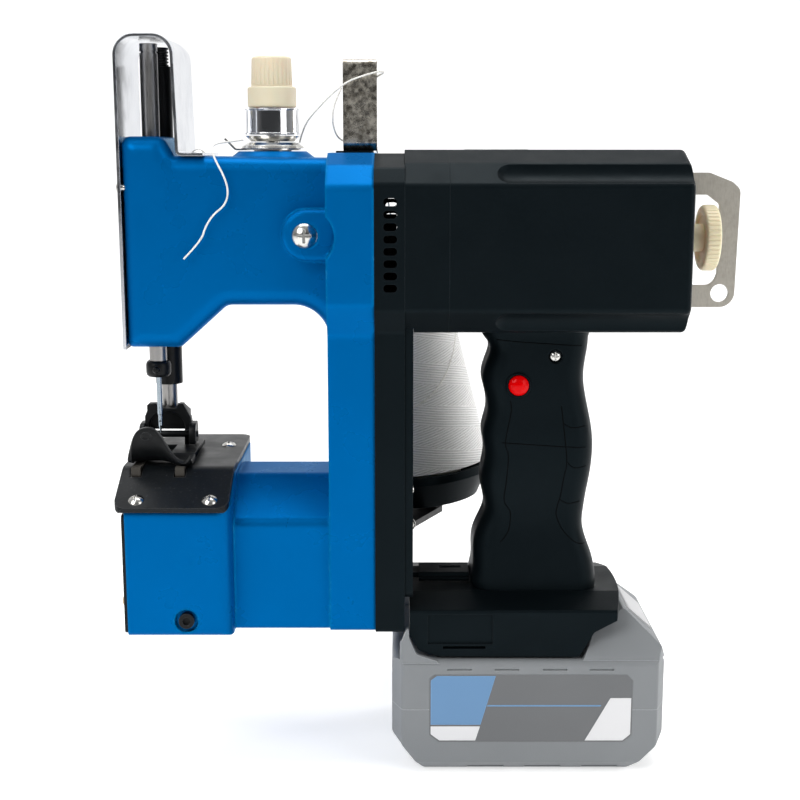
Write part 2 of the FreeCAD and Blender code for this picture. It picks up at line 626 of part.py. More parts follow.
def presser_foot():
    """Sole with an upturned toe; it tips about the hinge pin at its heel."""
    sole = slab([(-171.5, -22.0, 3.0), (-145.0, -22.0, 3.0), (-145.0, 22.0, 3.0), (-171.5, 22.0, 3.0)],
                "xy", 134.3, 136.8)
    toe_face = [(-171.0, 134.3), (-170.0, 142.0, 3.0), (-167.5, 149.5, 3.0), (-164.0, 151.5, 3.0),
                (-159.5, 149.0, 4.0), (-154.0, 141.0, 5.0), (-149.5, 137.6, 3.0), (-145.5, 137.0),
                (-145.5, 134.3)]
    toe = slab(toe_face, "xz", -22.0, -19.6)
    toe = turned(toe, (0, -22.0, 134.3), (1, 0, 0), 14.0)
    lugs = [block(x, x + 2.2, 4.0, 12.0, 135.0, 144.0) for x in (-169.4, -149.2)]
    foot = fused([sole, toe] + lugs)
    return foot.cut([rod("x", 1.5 + RUNNING, -175.0, -140.0, 8.0, 141.5),
                     block(NEEDLE_X - 6.0, NEEDLE_X + 6.0, -8.5, 6.5, 130.0, 140.0)])


# ---- tension unit and thread guides ----
def tension_stud():
    return fused([rod("z", 3.0, ARM_CEILING, 300.0, TENSION_X, 0.0),
                  rod("z", 5.0, ARM_CEILING - 3.0, ARM_CEILING, TENSION_X, 0.0)])


def thread_guide():
    """Round plate under the tension discs with a tongue that rises to the left."""
    base = TENSION_PAD_TOP + 0.4
    plate = ring("z", 12.0, 3.0, base, base + 0.8, TENSION_X, 0.0)
    tongue = strip([(-113.0, base + 0.4), (-125.4, base + 0.4, 1.5), (-129.9, base + 4.9)], 0.8, "xz",
                   -5.6, -1.6)
    tip = slab([(-131.5, -5.7, 1.9), (-112.0, -5.7), (-112.0, -1.5), (-131.5, -1.5, 1.9)], "xy", 260.0, 280.0)
    return fused([plate, tongue.common(tip)]).cut(rod("z", 3.0, 260.0, 280.0, TENSION_X, 0.0))


def guide_washer():
    return ring("z", 8.0, 3.0, TENSION_PAD_TOP, TENSION_PAD_TOP + 0.4, TENSION_X, 0.0)


def tension_discs():
    """Two dished discs and the flared washer that presses on them."""
    discs = []
    for start, low, high, height in ((268.1, 13.6, 13.0, 1.1), (269.3, 12.6, 10.4, 1.3), (271.0, 9.2, 12.0, 2.4)):
        disc = Part.makeCone(low, high, height, V(TENSION_X, 0, start))
        discs.append(disc.cut(rod("z", 3.1, 260.0, 280.0, TENSION_X, 0.0)))
    return group(discs)


def tension_cup():
    cup = rod("z", 11.9, 273.9, 284.7, TENSION_X, 0.0)
    cup = cup.cut([rod("z", 9.5, 273.0, 283.0, TENSION_X, 0.0), rod("z", 3.4, 270.0, 290.0, TENSION_X, 0.0)])
    waist = ring("z", 14.0, 11.3, 274.6, 284.0, TENSION_X, 0.0)
    return cup.cut(waist)


def tension_knob():
    flange = rod("z", 10.3, 285.2, 293.7, TENSION_X, 0.0)
    flange = flange.makeChamfer(0.5, [edge for edge in flange.Edges if edge.Length > 50.0 and edge.Closed])
    cap = Part.makeCone(8.75, 8.35, 12.5, V(TENSION_X, 0, 293.7))
    cap = cap.makeFillet(1.2, [edge for edge in cap.Edges if edge.BoundBox.ZMin > 306.0])
    cap = fluted(cap, (TENSION_X, 0.0), "z", 8.85, 28, 0.55, 294.6, 308.0)
    return fused([flange, cap]).cut(rod("z", 3.1, 280.0, 300.6, TENSION_X, 0.0))


def thread_bracket():
    """Bent strip; the thread is hooked round its upright and an eyelet is punched in its bent top."""
    path = [(14.0, 267.85), (0.0, 267.85, 3.0), (0.0, 304.6, 2.0), (9.0, 304.6)]
    bracket = strip(path, 1.5, "yz", -79.8, -65.3)
    eyelet = rod("z", 1.5, 300.0, 310.0, -72.4, 5.5)
    return drilled(bracket.cut(eyelet), BRACKET_SCREW)


def bracket_pad():
    pad = slab([(-83.0, -3.0, 2.0), (-67.0, -3.0, 2.0), (-67.0, 16.0, 2.0), (-83.0, 16.0, 2.0)],
               "xy", COLUMN_TOP, 267.1)
    return drilled(pad, BRACKET_SCREW)


# ---- belt case and motor ----
def belt_case():
    case = slab(both_sides(CASE_HALF), "yz", COLUMN_RIGHT, BELT_CASE_RIGHT)
    hollow = slab(both_sides(inset_half(CASE_HALF, 2.0)), "yz", COLUMN_RIGHT + 1.8, BELT_CASE_RIGHT + 1)
    cuts = [hollow, rod("x", 7.0, -70.0, -60.0, 0.0, SHAFT_Z)]
    for i in range(8):
        z = 246.9 - 4.94 * i
        cuts.append(slab([(-62.2, z - 1.6, 1.5), (-56.7, z - 1.6, 1.5), (-56.7, z + 1.6, 1.5),
                          (-62.2, z + 1.6, 1.5)], "xz", -50.0, 50.0))
    return drilled(case.cut(cuts), SPOOL_SCREWS)


def belt_cover():
    cover = slab(both_sides(COVER_HALF), "yz", BELT_CASE_RIGHT, BELT_COVER_RIGHT)
    hollow = slab(both_sides(inset_half(COVER_HALF, 2.0)), "yz", BELT_CASE_RIGHT - 1, BELT_COVER_RIGHT - 2.0)
    cover = cover.cut([hollow, rod("x", 12.0, -60.0, -45.0, 0.0, MOTOR_Z)])
    return drilled(cover, BELT_COVER_SCREWS)


def motor_ring():
    """Collar between the motor housing and the belt case, notched where the belt cover runs up into it."""
    shell = slab(both_sides(MOTOR_HALF), "yz", BELT_CASE_RIGHT, RING_RIGHT)
    hollow = slab(both_sides(inset_half(MOTOR_HALF, 3.0)), "yz", BELT_CASE_RIGHT - 1, RING_RIGHT - 4.0)
    bore = rod("x", 11.0, -50.0, -30.0, 0.0, MOTOR_Z)
    notch = block(BELT_CASE_RIGHT - 1, BELT_COVER_RIGHT + 0.2, -36.2, 36.2, 190.0, 200.0)
    return shell.cut([hollow, bore, notch])


def housing_scoops():
    """Shallow channels with round ends along the upper and lower edges of the motor housing."""
    scoops = []
    for side in (-1, 1):
        for y, z, ny, nz in ((39.0, 258.0, 0.65, 0.76), (39.0, 198.0, 0.71, -0.71)):
            cy = side * (y + 5.6 * ny)
            cz = z + 5.6 * nz
            scoops.append(rod("x", SCOOP_RADIUS, SCOOP_START, MOTOR_RIGHT + 5, cy, cz))
            scoops.append(Part.makeSphere(SCOOP_RADIUS, V(SCOOP_START, cy, cz)))
    return scoops


def motor_housing():
    shell = slab(both_sides(MOTOR_HALF), "yz", RING_RIGHT, MOTOR_RIGHT)
    end_edges = [edge for edge in shell.Edges
                 if abs(edge.CenterOfMass.x - MOTOR_RIGHT) < 0.01 and edge.CenterOfMass.z > 225.0]
    shell = shell.makeFillet(2.4, end_edges)
    hollow = slab(both_sides(inset_half(MOTOR_HALF, MOTOR_WALL)), "yz", RING_RIGHT - 1, MOTOR_RIGHT - 3.0)
    shell = shell.cut([hollow] + housing_scoops())
    boss = rod("x", 14.0, 53.0, MOTOR_RIGHT, 0.0, MOTOR_Z)
    shell = fused([shell, boss])
    return shell.cut([rod("x", 11.0, 52.0, 60.0, 0.0, MOTOR_Z), rod("x", 5.0, 50.0, 70.0, 0.0, MOTOR_Z)])


def motor_magnets():
    tube = ring("x", 25.4, 21.6, -22.0, 38.0, 0.0, MOTOR_Z)
    gaps = block(-30.0, 45.0, -30.0, 30.0, MOTOR_Z - 7.0, MOTOR_Z + 7.0)
    return tube.cut(gaps)


def armature_core():
    core = rod("x", 20.6, -20.0, 36.0, 0.0, MOTOR_Z)
    return core.cut(rod("x", 4.0, -30.0, 50.0, 0.0, MOTOR_Z))


def cooling_fan():
    hub = rod("x", 9.0, -48.5, -42.0, 0.0, MOTOR_Z)
    plate = rod("x", 30.0, -43.5, -42.0, 0.0, MOTOR_Z)
    blades = []
    for i in range(9):
        blade = block(-48.5, -43.0, -0.8, 0.8, MOTOR_Z + 8.0, MOTOR_Z + 29.0)
        blades.append(turned(blade, (0, 0, MOTOR_Z), (1, 0, 0), 40 * i))
    return fused([hub, plate] + blades).cut(rod("x", 4.0, -60.0, -30.0, 0.0, MOTOR_Z))


def handwheel():
    """Ribbed wheel with a dished face on a hub that is fixed on the end of the motor shaft."""
    rim = rod("x", 14.2, 74.6, 81.2, 0.0, MOTOR_Z)
    rim = rim.makeFillet(1.6, [edge for edge in rim.Edges if edge.Closed])
    rim = fluted(rim, (0.0, MOTOR_Z), "x", 14.5, 44, 0.6, 70.0, 85.0)
    dish = Part.makeCone(12.2, 9.5, 1.6, V(73.8, 0, MOTOR_Z), V(1, 0, 0))
    hub = rod("x", 6.0, 63.4, 78.0, 0.0, MOTOR_Z)
    return fused([rim.cut(dish), hub]).cut(rod("x", 4.0, 60.0, 73.0, 0.0, MOTOR_Z))


def guard_bracket():
    """Steel loop round the handwheel, with a hanging hole in its lower corner."""
    outer = [(MOTOR_RIGHT, 199.9, 1.0), (90.2, 199.9, 6.5), (91.1, 250.8, 4.0), (87.5, 254.0, 3.0),
             (77.5, 257.9, 3.0), (MOTOR_RIGHT, 257.9, 1.0)]
    inner = [(60.0, 209.5), (80.6, 209.5, 5.0), (82.4, 214.5, 2.0), (82.4, 244.4, 2.0), (77.0, 248.5, 2.0),
             (60.0, 248.5)]
    bar = slab(outer, "xz", -1.0, 1.0).cut(slab(inner, "xz", -3.0, 3.0))
    tabs = [block(MOTOR_RIGHT, MOTOR_RIGHT + 2, -1.0, 11.0, 200.5, 208.5),
            block(MOTOR_RIGHT, MOTOR_RIGHT + 2, -1.0, 11.0, 249.3, 257.0)]
    return fused([bar] + tabs).cut(rod("y", HANG_HOLE_RADIUS, -5.0, 5.0, *HANG_HOLE))


HANG_HOLE = (83.8, 206.0)
HANG_HOLE_RADIUS = 3.96


# ---- grip, switch and battery shoe ----
GRIP_STATIONS = [(GRIP_BASE, -23.4, 31.2, 18.0), (84.0, -23.4, 31.1, 17.6), (92.0, -23.3, 29.2, 16.7),
                 (98.0, -22.8, 27.0, 15.9), (104.5, -20.4, 25.5, 15.2), (111.5, -18.0, 25.9, 15.0),
                 (118.5, -19.1, 26.8, 15.3), (127.5, -19.5, 28.2, 16.0), (137.0, -18.2, 29.0, 16.4),
                 (145.5, -19.2, 28.7, 16.4), (154.5, -17.4, 27.1, 16.0), (162.5, -18.0, 25.4, 15.8),
                 (170.0, -19.5, 24.4, 15.6), (178.0, -17.6, 25.0, 15.4), (185.5, -17.2, 26.0, 15.4),
                 (MOTOR_BOTTOM, -17.6, 29.0, 16.5)]


def grip_body():
    solid = superloft(GRIP_STATIONS, 0.0, 8.5)
    hollow = superloft(GRIP_STATIONS, GRIP_WALL, 8.5)
    bosses = [rod("y", 4.0, -14.0, 14.0, seat[0], seat[2]) for seat, *_ in GRIP_SCREWS]
    shell = fused([solid.cut(hollow)] + [boss.common(solid) for boss in bosses])
    button_hole = rod("y", 5.4, -30.0, -5.0, -4.4, 167.7)
    recesses = []
    for seat, facing, *_ in GRIP_SCREWS:
        depth = sorted((seat[1], 30.0 * facing[1]))
        recesses.append(rod("y", 3.2, depth[0], depth[1], seat[0], seat[2]))
    return drilled(shell.cut([button_hole] + recesses), GRIP_SCREWS)


def run_button():
    """Domed push button; its stem reaches the switch behind it."""
    cap = rod("y", 4.35, -16.4, -8.5, -4.4, 167.7)
    dome = Part.makeSphere(6.0, V(-4.4, -12.3, 167.7)).common(rod("y", 4.35, -19.0, -16.4, -4.4, 167.7))
    return fused([cap, dome])


def run_switch():
    body = block(-12.0, 4.0, -1.0, 8.0, 160.0, 176.0)
    plunger = rod("y", 2.0, -5.0, -1.0, -4.4, 167.7)
    return fused([body, plunger])


def shoe_outline():
    return [(-51.3, 61.7, 2.0), (-47.6, 55.0, 4.0), (-39.3, 52.3, 4.0), (22.0, SHOE_BOTTOM, 2.0),
            (28.2, 63.0, 2.0), (42.0, 70.5, 3.0), (42.0, GRIP_BASE + 1), (-51.3, GRIP_BASE + 1)]


def battery_shoe():
    """Base of the grip that the pack's rails slide into from the handwheel end."""
    shoe = slab(shoe_outline(), "xz", -35.0, 35.0)
    section = [(-35.0, 50.0), (-35.0, SHOE_TOP_EDGE, 1.2), (-18.0, GRIP_BASE), (18.0, GRIP_BASE),
               (35.0, SHOE_TOP_EDGE, 1.2), (35.0, 50.0)]
    shoe = shoe.common(slab(section, "yz", -60.0, 50.0))
    shoe = shoe.common(rod("z", SHOE_END_RADIUS, 40.0, 90.0, 42.0 - SHOE_END_RADIUS, 0.0))
    for y in (-35.0, 35.0):
        shoe = shoe.cut([block(-43.5, -15.5, y - 1.0, y + 1.0, 57.8, 71.0),
                         block(-37.0, -18.6, y - 2.0, y + 2.0, 55.6, 56.9)])
    channel = block(-46.0, 45.0, -24.0, 24.0, 45.0, 64.5)
    wires = rod("z", 6.0, 60.0, 90.0, 4.0, 0.0)
    return shoe.cut([channel, wires])


def bridge_rail():
    """Grooved rail that ties the grip's foot to the belt cover."""
    rail = slab([(-8.0, 77.2, 1.0), (8.0, 77.2, 1.0), (8.0, 81.4, 1.0), (-8.0, 81.4, 1.0)], "yz", -47.0, -24.6)
    tongue = block(BELT_COVER_RIGHT, -46.0, -5.0, 5.0, 78.2, 80.4)
    groove = block(-60.0, -20.0, -9.0, -7.2, 78.8, 79.6)
    stripe = block(-38.0, -28.0, -2.0, 2.0, 81.1, 82.0)
    return fused([rail, tongue]).cut([groove, stripe])


# ---- battery pack ----
def pack_plan(start, end):
    """Upright prism with the pack's outline from above, which has its corners cut off."""
    outline = [(PACK_LEFT, -28.0, 1.0), (-54.5, -PACK_HALF_DEPTH, 2.0), (55.8, -PACK_HALF_DEPTH, 2.0),
               (PACK_RIGHT, -28.0, 1.0), (PACK_RIGHT, 28.0, 1.0), (55.8, PACK_HALF_DEPTH, 2.0),
               (-54.5, PACK_HALF_DEPTH, 2.0), (PACK_LEFT, 28.0, 1.0)]
    return slab(outline, "xy", start, end)


def pack_block(start, end):
    """Solid block of the pack between two heights, with its foot edges cut off below."""
    side = [(PACK_LEFT, 15.0, 1.5), (-55.0, 13.0, 1.5), (-45.0, 0.0, 4.0), (44.0, 0.0, 4.0), (56.5, 13.0, 1.5),
            (PACK_RIGHT, 15.0, 1.5), (PACK_RIGHT, PACK_TOP, 4.0), (PACK_LEFT, PACK_TOP, 4.0)]
    cross = [(-PACK_HALF_DEPTH, 5.0, 2.0), (-33.0, 0.0, 2.0), (33.0, 0.0, 2.0), (PACK_HALF_DEPTH, 5.0, 2.0),
             (PACK_HALF_DEPTH, PACK_TOP, 2.5), (-PACK_HALF_DEPTH, PACK_TOP, 2.5)]
    body = pack_plan(start, end).common(slab(side, "xz", -50.0, 50.0))
    return body.common(slab(cross, "yz", -70.0, 70.0))


def pack_lower():
    shell = pack_block(0.0, PACK_SEAM)
    notches = [block(x, x + 16.0, y - 1.5, y + 1.5, -1.0, 2.0) for x in (-26.0, -1.0, 24.0) for y in (-34.0, 34.0)]
    return shell.cut([block(-50.0, 50.0, -34.0, 34.0, 3.0, PACK_SEAM + 1)] + notches)


def slope_point(along, depth):
    """Point in the XZ plane on or under the sloping back of the pack's raised end."""
    lean = math.radians(HUMP_SLOPE)
    return (HUMP_TOP[0] + along * math.cos(lean) - depth * math.sin(lean),
            HUMP_TOP[1] - along * math.sin(lean) - depth * math.cos(lean))


def pack_upper():
    """Upper shell: the raised end behind the shoe, side lips at the other end, and the shoe's rail."""
    shell = pack_block(PACK_SEAM, PACK_TOP)
    hump = slab([(23.2, 50.0), (29.3, 61.9), (42.6, 69.3, 0.6), HUMP_TOP + (1.5,), slope_point(18.8, 0.0) + (4.0,),
                 (PACK_RIGHT, 50.0)], "xz", -PACK_HALF_DEPTH, PACK_HALF_DEPTH)
    crown = [(-36.5, 50.0), (-36.0, 52.5, 1.0), (-20.0, 70.5, 3.0), (20.0, 70.5, 3.0), (36.0, 52.5, 1.0), (36.5, 50.0)]
    hump = hump.common(slab(crown, "yz", 0.0, 70.0))
    lips = [slab([(-58.0, 50.0), (-38.5, 50.0), (-39.6, 51.2), (-48.4, 54.0, 3.0), (-51.6, 61.5, 1.0),
                  (-51.8, 66.0, 0.4), (-53.0, 65.0, 0.4), (-54.5, 60.5, 2.0), (-58.0, 56.0, 2.0)],
                 "xz", y, y + 2.3) for y in (-PACK_HALF_DEPTH, PACK_HALF_DEPTH - 2.3)]
    rail = block(-37.0, 30.0, -23.0, 23.0, 50.0, 63.5).common(slab([(-37.0, 50.0), (23.5, 50.0), (29.6, 61.7),
                                                                    (30.0, 63.5), (-37.0, 63.5)], "xz", -30.0, 30.0))
    grooves = [block(-45.0, 23.0, y, y + 3.0, 53.0, 57.0) for y in (-23.0, 20.0)]
    contacts = [block(-40.0, -28.0, y - 1.2, y + 1.2, 55.5, 65.0) for y in (-9.0, -3.0, 3.0, 9.0)]
    pocket = slab([slope_point(1.9, -4.0), slope_point(1.9, 6.8), slope_point(17.2, 6.8), slope_point(17.2, -4.0)],
                  "xz", -LATCH_HALF_WIDTH - 0.5, LATCH_HALF_WIDTH + 0.5)
    slits = [block(x, x + 10.6, y - 0.7, y + 0.7, 46.9, 47.7) for x in (-35.2, -14.8, 6.0, 26.2) for y in (-38.0, 38.0)]
    shell = fused([shell, hump, rail] + lips).common(pack_plan(PACK_SEAM, HUMP_TOP[1] + 5.0))
    return shell.cut([block(-50.0, 50.0, -34.0, 34.0, PACK_SEAM - 1, 48.0), pocket] + grooves + contacts + slits)


def pack_latch():
    """Release button let into the slope of the raised end."""
    side = [slope_point(2.3, -0.6) + (1.0,), slope_point(2.3, 3.2), slope_point(16.8, 3.2),
            slope_point(16.8, -0.6) + (1.0,)]
    return slab(side, "xz", -LATCH_HALF_WIDTH, LATCH_HALF_WIDTH)


def pack_cells():
    cells = []
    for row in range(2):
        for column in range(5):
            x = -37.6 + 18.8 * column
            cells.append(rod("y", 9.2, -32.5, 32.5, x, 12.6 + 18.8 * row))
    return group(cells)


# ---- thread stand ----
def leaned(shape):
    """Tips a piece of the thread stand with the spool pin's lean."""
    return turned(shape, (SPOOL_X, SPOOL_Y, SPOOL_Z), (0, 1, 0), SPOOL_LEAN)


def spool_bracket():
    """Angle bracket screwed to the back of the belt case; its shelf carries the cup."""
    flange = slab([(-65.0, 80.0, 2.0), (-50.5, 80.0, 2.0), (-50.5, 112.0, 3.0), (-65.0, 112.0, 3.0)], "xz",
                  37.0, 40.0)
    shelf = slab([(-65.0, 38.0, 1.0), (-50.5, 38.0, 1.0), (-34.0, 72.0, 6.0), (-34.0, 86.0, 6.0),
                  (-48.0, 86.0, 6.0), (-65.0, 52.0, 4.0)], "xy", 88.0, 91.0)
    return drilled(fused([flange, shelf]), SPOOL_SCREWS)


def spool_cup():
    """Black dish with a stepped rim that the cone stands in."""
    stem = rod("z", 7.0, SPOOL_Z - 2.5, SPOOL_Z + 2.0, SPOOL_X, SPOOL_Y)
    dish = Part.makeCone(24.0, 32.5, 15.0, V(SPOOL_X, SPOOL_Y, SPOOL_Z))
    rim = rod("z", 34.0, SPOOL_Z + 13.0, SPOOL_Z + 17.0, SPOOL_X, SPOOL_Y)
    bowl = Part.makeCone(22.0, 32.2, 15.0, V(SPOOL_X, SPOOL_Y, SPOOL_Z + 3.0))
    cup = fused([stem, dish, rim]).cut([bowl, rod("z", 3.0, 80.0, 130.0, SPOOL_X, SPOOL_Y)])
    return leaned(cup).cut(block(-90.0, 0.0, 30.0, 120.0, 80.0, 91.0))


def spool_pin():
    pin = leaned(rod("z", 3.0, SPOOL_Z - 6.0, SPOOL_Z + 112.0, SPOOL_X, SPOOL_Y))
    return pin.cut(block(-90.0, 0.0, 30.0, 120.0, 80.0, 91.0))


def cone_core():
    base = SPOOL_Z + 3.3
    outer = Part.makeCone(17.5, 5.2, 117.0, V(SPOOL_X, SPOOL_Y, base))
    inner = Part.makeCone(15.5, 3.6, 117.0, V(SPOOL_X, SPOOL_Y, base))
    return leaned(outer.cut(inner))


def thread_cone():
    base = SPOOL_Z + 18.0
    wound = Part.makeCone(31.5, 20.5, 92.0, V(SPOOL_X, SPOOL_Y, base))
    core_at_base = 17.5 - 12.3 * 14.7 / 117.0
    core_at_top = 17.5 - 12.3 * 106.7 / 117.0
    bore = Part.makeCone(core_at_base, core_at_top, 92.0, V(SPOOL_X, SPOOL_Y, base))
    return leaned(wound.cut(bore))


# ---- threads: routes of the loose sewing thread ----
SUPPLY_ROUTE = [(-54.4, 56.2, 200.0), (-57.5, 58.5, 221.0), (-61.0, 60.5, 244.0), (-69.0, 22.0, 281.0),
                (-69.8, 10.5, 292.0), (-67.0, 5.4, 297.6), (-61.9, 1.4, 299.9), (-63.6, -4.2, 300.2),
                (-70.5, -5.2, 298.4), (-79.5, -4.8, 295.2), (-91.0, 0.4, 284.6), (-97.0, 4.4, 277.6),
                (-98.9, 5.9, 270.6)]
SLACK_ROUTE = [(-80.4, -0.6, 293.4), (-83.4, -1.6, 287.0), (-84.4, -1.8, 281.0), (-83.8, 1.4, 275.8),
               (-81.4, 5.6, 271.4), (-76.2, 8.2, 270.0)]
TAIL_ROUTE = [(-121.5, -9.8, 271.6), (-126.5, -12.5, 270.9), (-131.4, -17.6, 270.2), (-133.4, -23.8, 268.6),
              (-131.2, -27.7, 263.6), (-127.4, -27.6, 256.4), (-125.9, -27.7, 250.2), (-127.6, -27.5, 245.0),
              (-132.6, -27.6, 241.2), (-136.0, -27.5, 236.0), (-137.6, -27.7, 230.6), (-145.2, -27.6, 223.0)]


def cord(route, diameter, label):
    """Tube along straight runs joined by tangent arcs."""
    points = [V(*point) for point in route]
    edges = []
    start = points[0]
    radii = []
    for i in range(1, len(points) - 1):
        back = points[i - 1] - points[i]
        ahead = points[i + 1] - points[i]
        shorter = min(back.Length, ahead.Length)
        back.normalize()
        ahead.normalize()
        reach = 0.45 * shorter
        turn = math.pi - math.acos(max(-1.0, min(1.0, back.dot(ahead))))
        radius = reach / math.tan(turn / 2)
        radii.append(round(radius, 1))
        into = points[i] + back * reach
        out = points[i] + ahead * reach
        middle = back + ahead
        middle.normalize()
        inset = radius / math.cos(turn / 2) - radius
        edges.append(Part.LineSegment(start, into).toShape())
        edges.append(Part.Arc(into, points[i] + middle * inset, out).toShape())
        start = out
    edges.append(Part.LineSegment(start, points[-1]).toShape())
    path = Part.Wire(edges)
    circle = Part.makeCircle(diameter / 2, points[0], points[1] - points[0])
    tube = path.makePipeShell([Part.Wire([circle])], True, False)
    ratio = tube.Volume / (math.pi * diameter ** 2 / 4 * path.Length)
    print(label, "length", round(path.Length, 1), "radii", radii, "volume ratio", round(ratio, 4))
    return tube


def sewing_head():
    return {
        "main_casting": main_casting(),
        "face_plate": face_plate(),
        "box_side_cover": box_side_cover(),
        "needle_plate": needle_plate(),
        "machine_screws": group([screws_of(FACE_SCREWS + PLATE_SCREWS + BOX_COVER_SCREW + BRACKET_SCREW
                                           + SPOOL_SCREWS + BELT_COVER_SCREWS + GRIP_SCREWS),
                                 base_cap_screw()]),
        "lever_pivot_pin": lever_pivot_pin(),
        "needle_bar_bushes": group([bush(5.5, BAR_RADIUS + RUNNING, ARM_CEILING, 272.6, NEEDLE_X, 0.0),
                                    bush(5.5, BAR_RADIUS + RUNNING, 184.0, 190.0, NEEDLE_X, 0.0)]),
    }


def needle_drive():
    return {
        "needle_bar": needle_bar(),
        "needle_clamp": needle_clamp(),
        "needle": needle(),
        "needle_bar_block": needle_bar_block(),
        "rocker_lever": rocker_lever(),
        "crank_rod": group([crank_rod(), crank_rod_pin()]),
        "main_shaft": group([rod("x", 5.0, -134.0, BELT_X[1], 0.0, SHAFT_Z), shaft_crank()]),
        "main_shaft_pulley": toothed_wheel(SHAFT_PULLEY_RADIUS, 48, BELT_X[0], BELT_X[1], SHAFT_Z, 5.0),
        "looper": group([looper_shaft(), looper()]),
        "feed_dog": fused([feed_dog(), feed_bar()]),
    }


def presser_parts():
    return {
        "presser_bar": group([presser_bar(), presser_collar()]),
        "presser_bush": bush(6.0, PRESSER_BAR_RADIUS + RUNNING, 163.8, 190.0, PRESSER_X, PRESSER_Y),
        "presser_sleeve": group([presser_sleeve(), presser_screw()]),
        "presser_spring": coil(2.9, 0.45, 286.0, 299.0, 6, PRESSER_X, PRESSER_Y),
        "lifter_lever": lifter_lever(),
        "presser_shank": group([presser_shank(), foot_hinge_pin()]),
        "presser_foot": presser_foot(),
    }


def thread_parts():
    return {
        "thread_guide": fused([thread_guide(), guide_washer()]),
        "tension_discs": group([tension_stud(), tension_discs()]),
        "tension_spring": coil(5.5, 0.6, 273.6, 282.8, 4.5, TENSION_X, 0.0),
        "tension_cup": tension_cup(),
        "tension_knob": tension_knob(),
        "thread_bracket": thread_bracket(),
        "bracket_pad": bracket_pad(),
        "spool_bracket": group([spool_bracket(), spool_pin()]),
        "spool_cup": spool_cup(),
        "cone_core": cone_core(),
        "thread_cone": thread_cone(),
        "thread_supply": cord(SUPPLY_ROUTE, THREAD_DIAMETER, "supply"),
        "thread_slack": cord(SLACK_ROUTE, THREAD_DIAMETER, "slack"),
        "thread_tail": cord(TAIL_ROUTE, THREAD_DIAMETER, "tail"),
    }


def motor_unit():
    return {
        "belt_case": belt_case(),
        "belt_cover": belt_cover(),
        "timing_belt": timing_belt(),
        "motor_pulley": toothed_wheel(MOTOR_PULLEY_RADIUS, 16, BELT_X[0], BELT_X[1], MOTOR_Z, 4.0),
        "motor_ring": motor_ring(),
        "motor_housing": motor_housing(),
        "motor_stator": group([ring("x", 28.0, 25.5, -30.0, 46.0, 0.0, MOTOR_Z), motor_magnets()]),
        "ball_bearings": group([bearing(-40.0, RING_RIGHT, MOTOR_Z, 4.0), bearing(54.0, 60.0, MOTOR_Z, 4.0),
                                bearing(-88.0, -80.5, SHAFT_Z, 5.0), bearing(-129.0, -123.0, SHAFT_Z, 5.0)]),
        "armature": group([rod("x", 4.0, -63.5, 72.5, 0.0, MOTOR_Z), armature_core(),
                           ring("x", 8.0, 4.0, 38.0, 50.0, 0.0, MOTOR_Z)]),
        "cooling_fan": cooling_fan(),
        "handwheel": handwheel(),
        "guard_bracket": guard_bracket(),
    }


def grip_and_pack():
    grip = grip_body()
    return {
        "grip_near_half": grip.common(block(-60.0, 60.0, -40.0, 0.0, 60.0, 200.0)),
        "grip_far_half": grip.common(block(-60.0, 60.0, 0.0, 40.0, 60.0, 200.0)),
        "run_button": run_button(),
        "run_switch": run_switch(),
        "battery_shoe": battery_shoe(),
        "bridge_rail": bridge_rail(),
        "pack_lower": pack_lower(),
        "pack_upper": pack_upper(),
        "pack_latch": pack_latch(),
        "pack_cells": pack_cells(),
    }


nodes = {}
for section in (sewing_head, needle_drive, presser_parts, thread_parts, motor_unit, grip_and_pack):
    nodes.update(section())
for name, shape in nodes.items():
    shape.exportStep("parts/" + name + ".step")
    box = shape.BoundBox
    print(f"{name:22s} valid {shape.isValid()} solids {len(shape.Solids)} volume {shape.Volume:10.1f}"
          f" x {box.XMin:7.1f} {box.XMax:7.1f} y {box.YMin:7.1f} {box.YMax:7.1f} z {box.ZMin:6.1f} {box.ZMax:6.1f}")
print(len(nodes), "nodes")
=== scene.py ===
import json
import math

import bmesh
import bpy
from mathutils import Matrix, Vector
from mathutils.bvhtree import BVHTree


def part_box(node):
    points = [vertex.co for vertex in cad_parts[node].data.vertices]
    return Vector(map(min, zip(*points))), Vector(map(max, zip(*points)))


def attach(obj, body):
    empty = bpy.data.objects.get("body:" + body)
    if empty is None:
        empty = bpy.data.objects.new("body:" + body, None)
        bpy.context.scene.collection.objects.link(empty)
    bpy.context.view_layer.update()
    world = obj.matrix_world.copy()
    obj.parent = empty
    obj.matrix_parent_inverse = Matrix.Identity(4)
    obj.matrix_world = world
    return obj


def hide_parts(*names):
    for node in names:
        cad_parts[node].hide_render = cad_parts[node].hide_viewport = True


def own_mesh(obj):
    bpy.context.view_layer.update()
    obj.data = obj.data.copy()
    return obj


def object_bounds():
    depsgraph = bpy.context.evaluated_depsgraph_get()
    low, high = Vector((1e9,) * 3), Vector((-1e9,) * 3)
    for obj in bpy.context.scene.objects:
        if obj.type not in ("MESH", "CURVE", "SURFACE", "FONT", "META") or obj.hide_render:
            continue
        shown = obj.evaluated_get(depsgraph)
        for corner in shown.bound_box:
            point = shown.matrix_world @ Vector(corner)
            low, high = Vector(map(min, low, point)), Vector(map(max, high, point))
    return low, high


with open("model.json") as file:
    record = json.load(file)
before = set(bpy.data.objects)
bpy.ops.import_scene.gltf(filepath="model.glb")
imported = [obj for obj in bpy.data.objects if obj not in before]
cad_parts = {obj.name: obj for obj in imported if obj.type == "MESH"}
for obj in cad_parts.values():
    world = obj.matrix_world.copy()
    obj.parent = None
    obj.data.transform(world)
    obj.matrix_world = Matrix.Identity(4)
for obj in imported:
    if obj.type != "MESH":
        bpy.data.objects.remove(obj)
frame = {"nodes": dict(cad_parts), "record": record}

NODES = frame["nodes"]
CAD_BOX = [list(corner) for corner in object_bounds()]
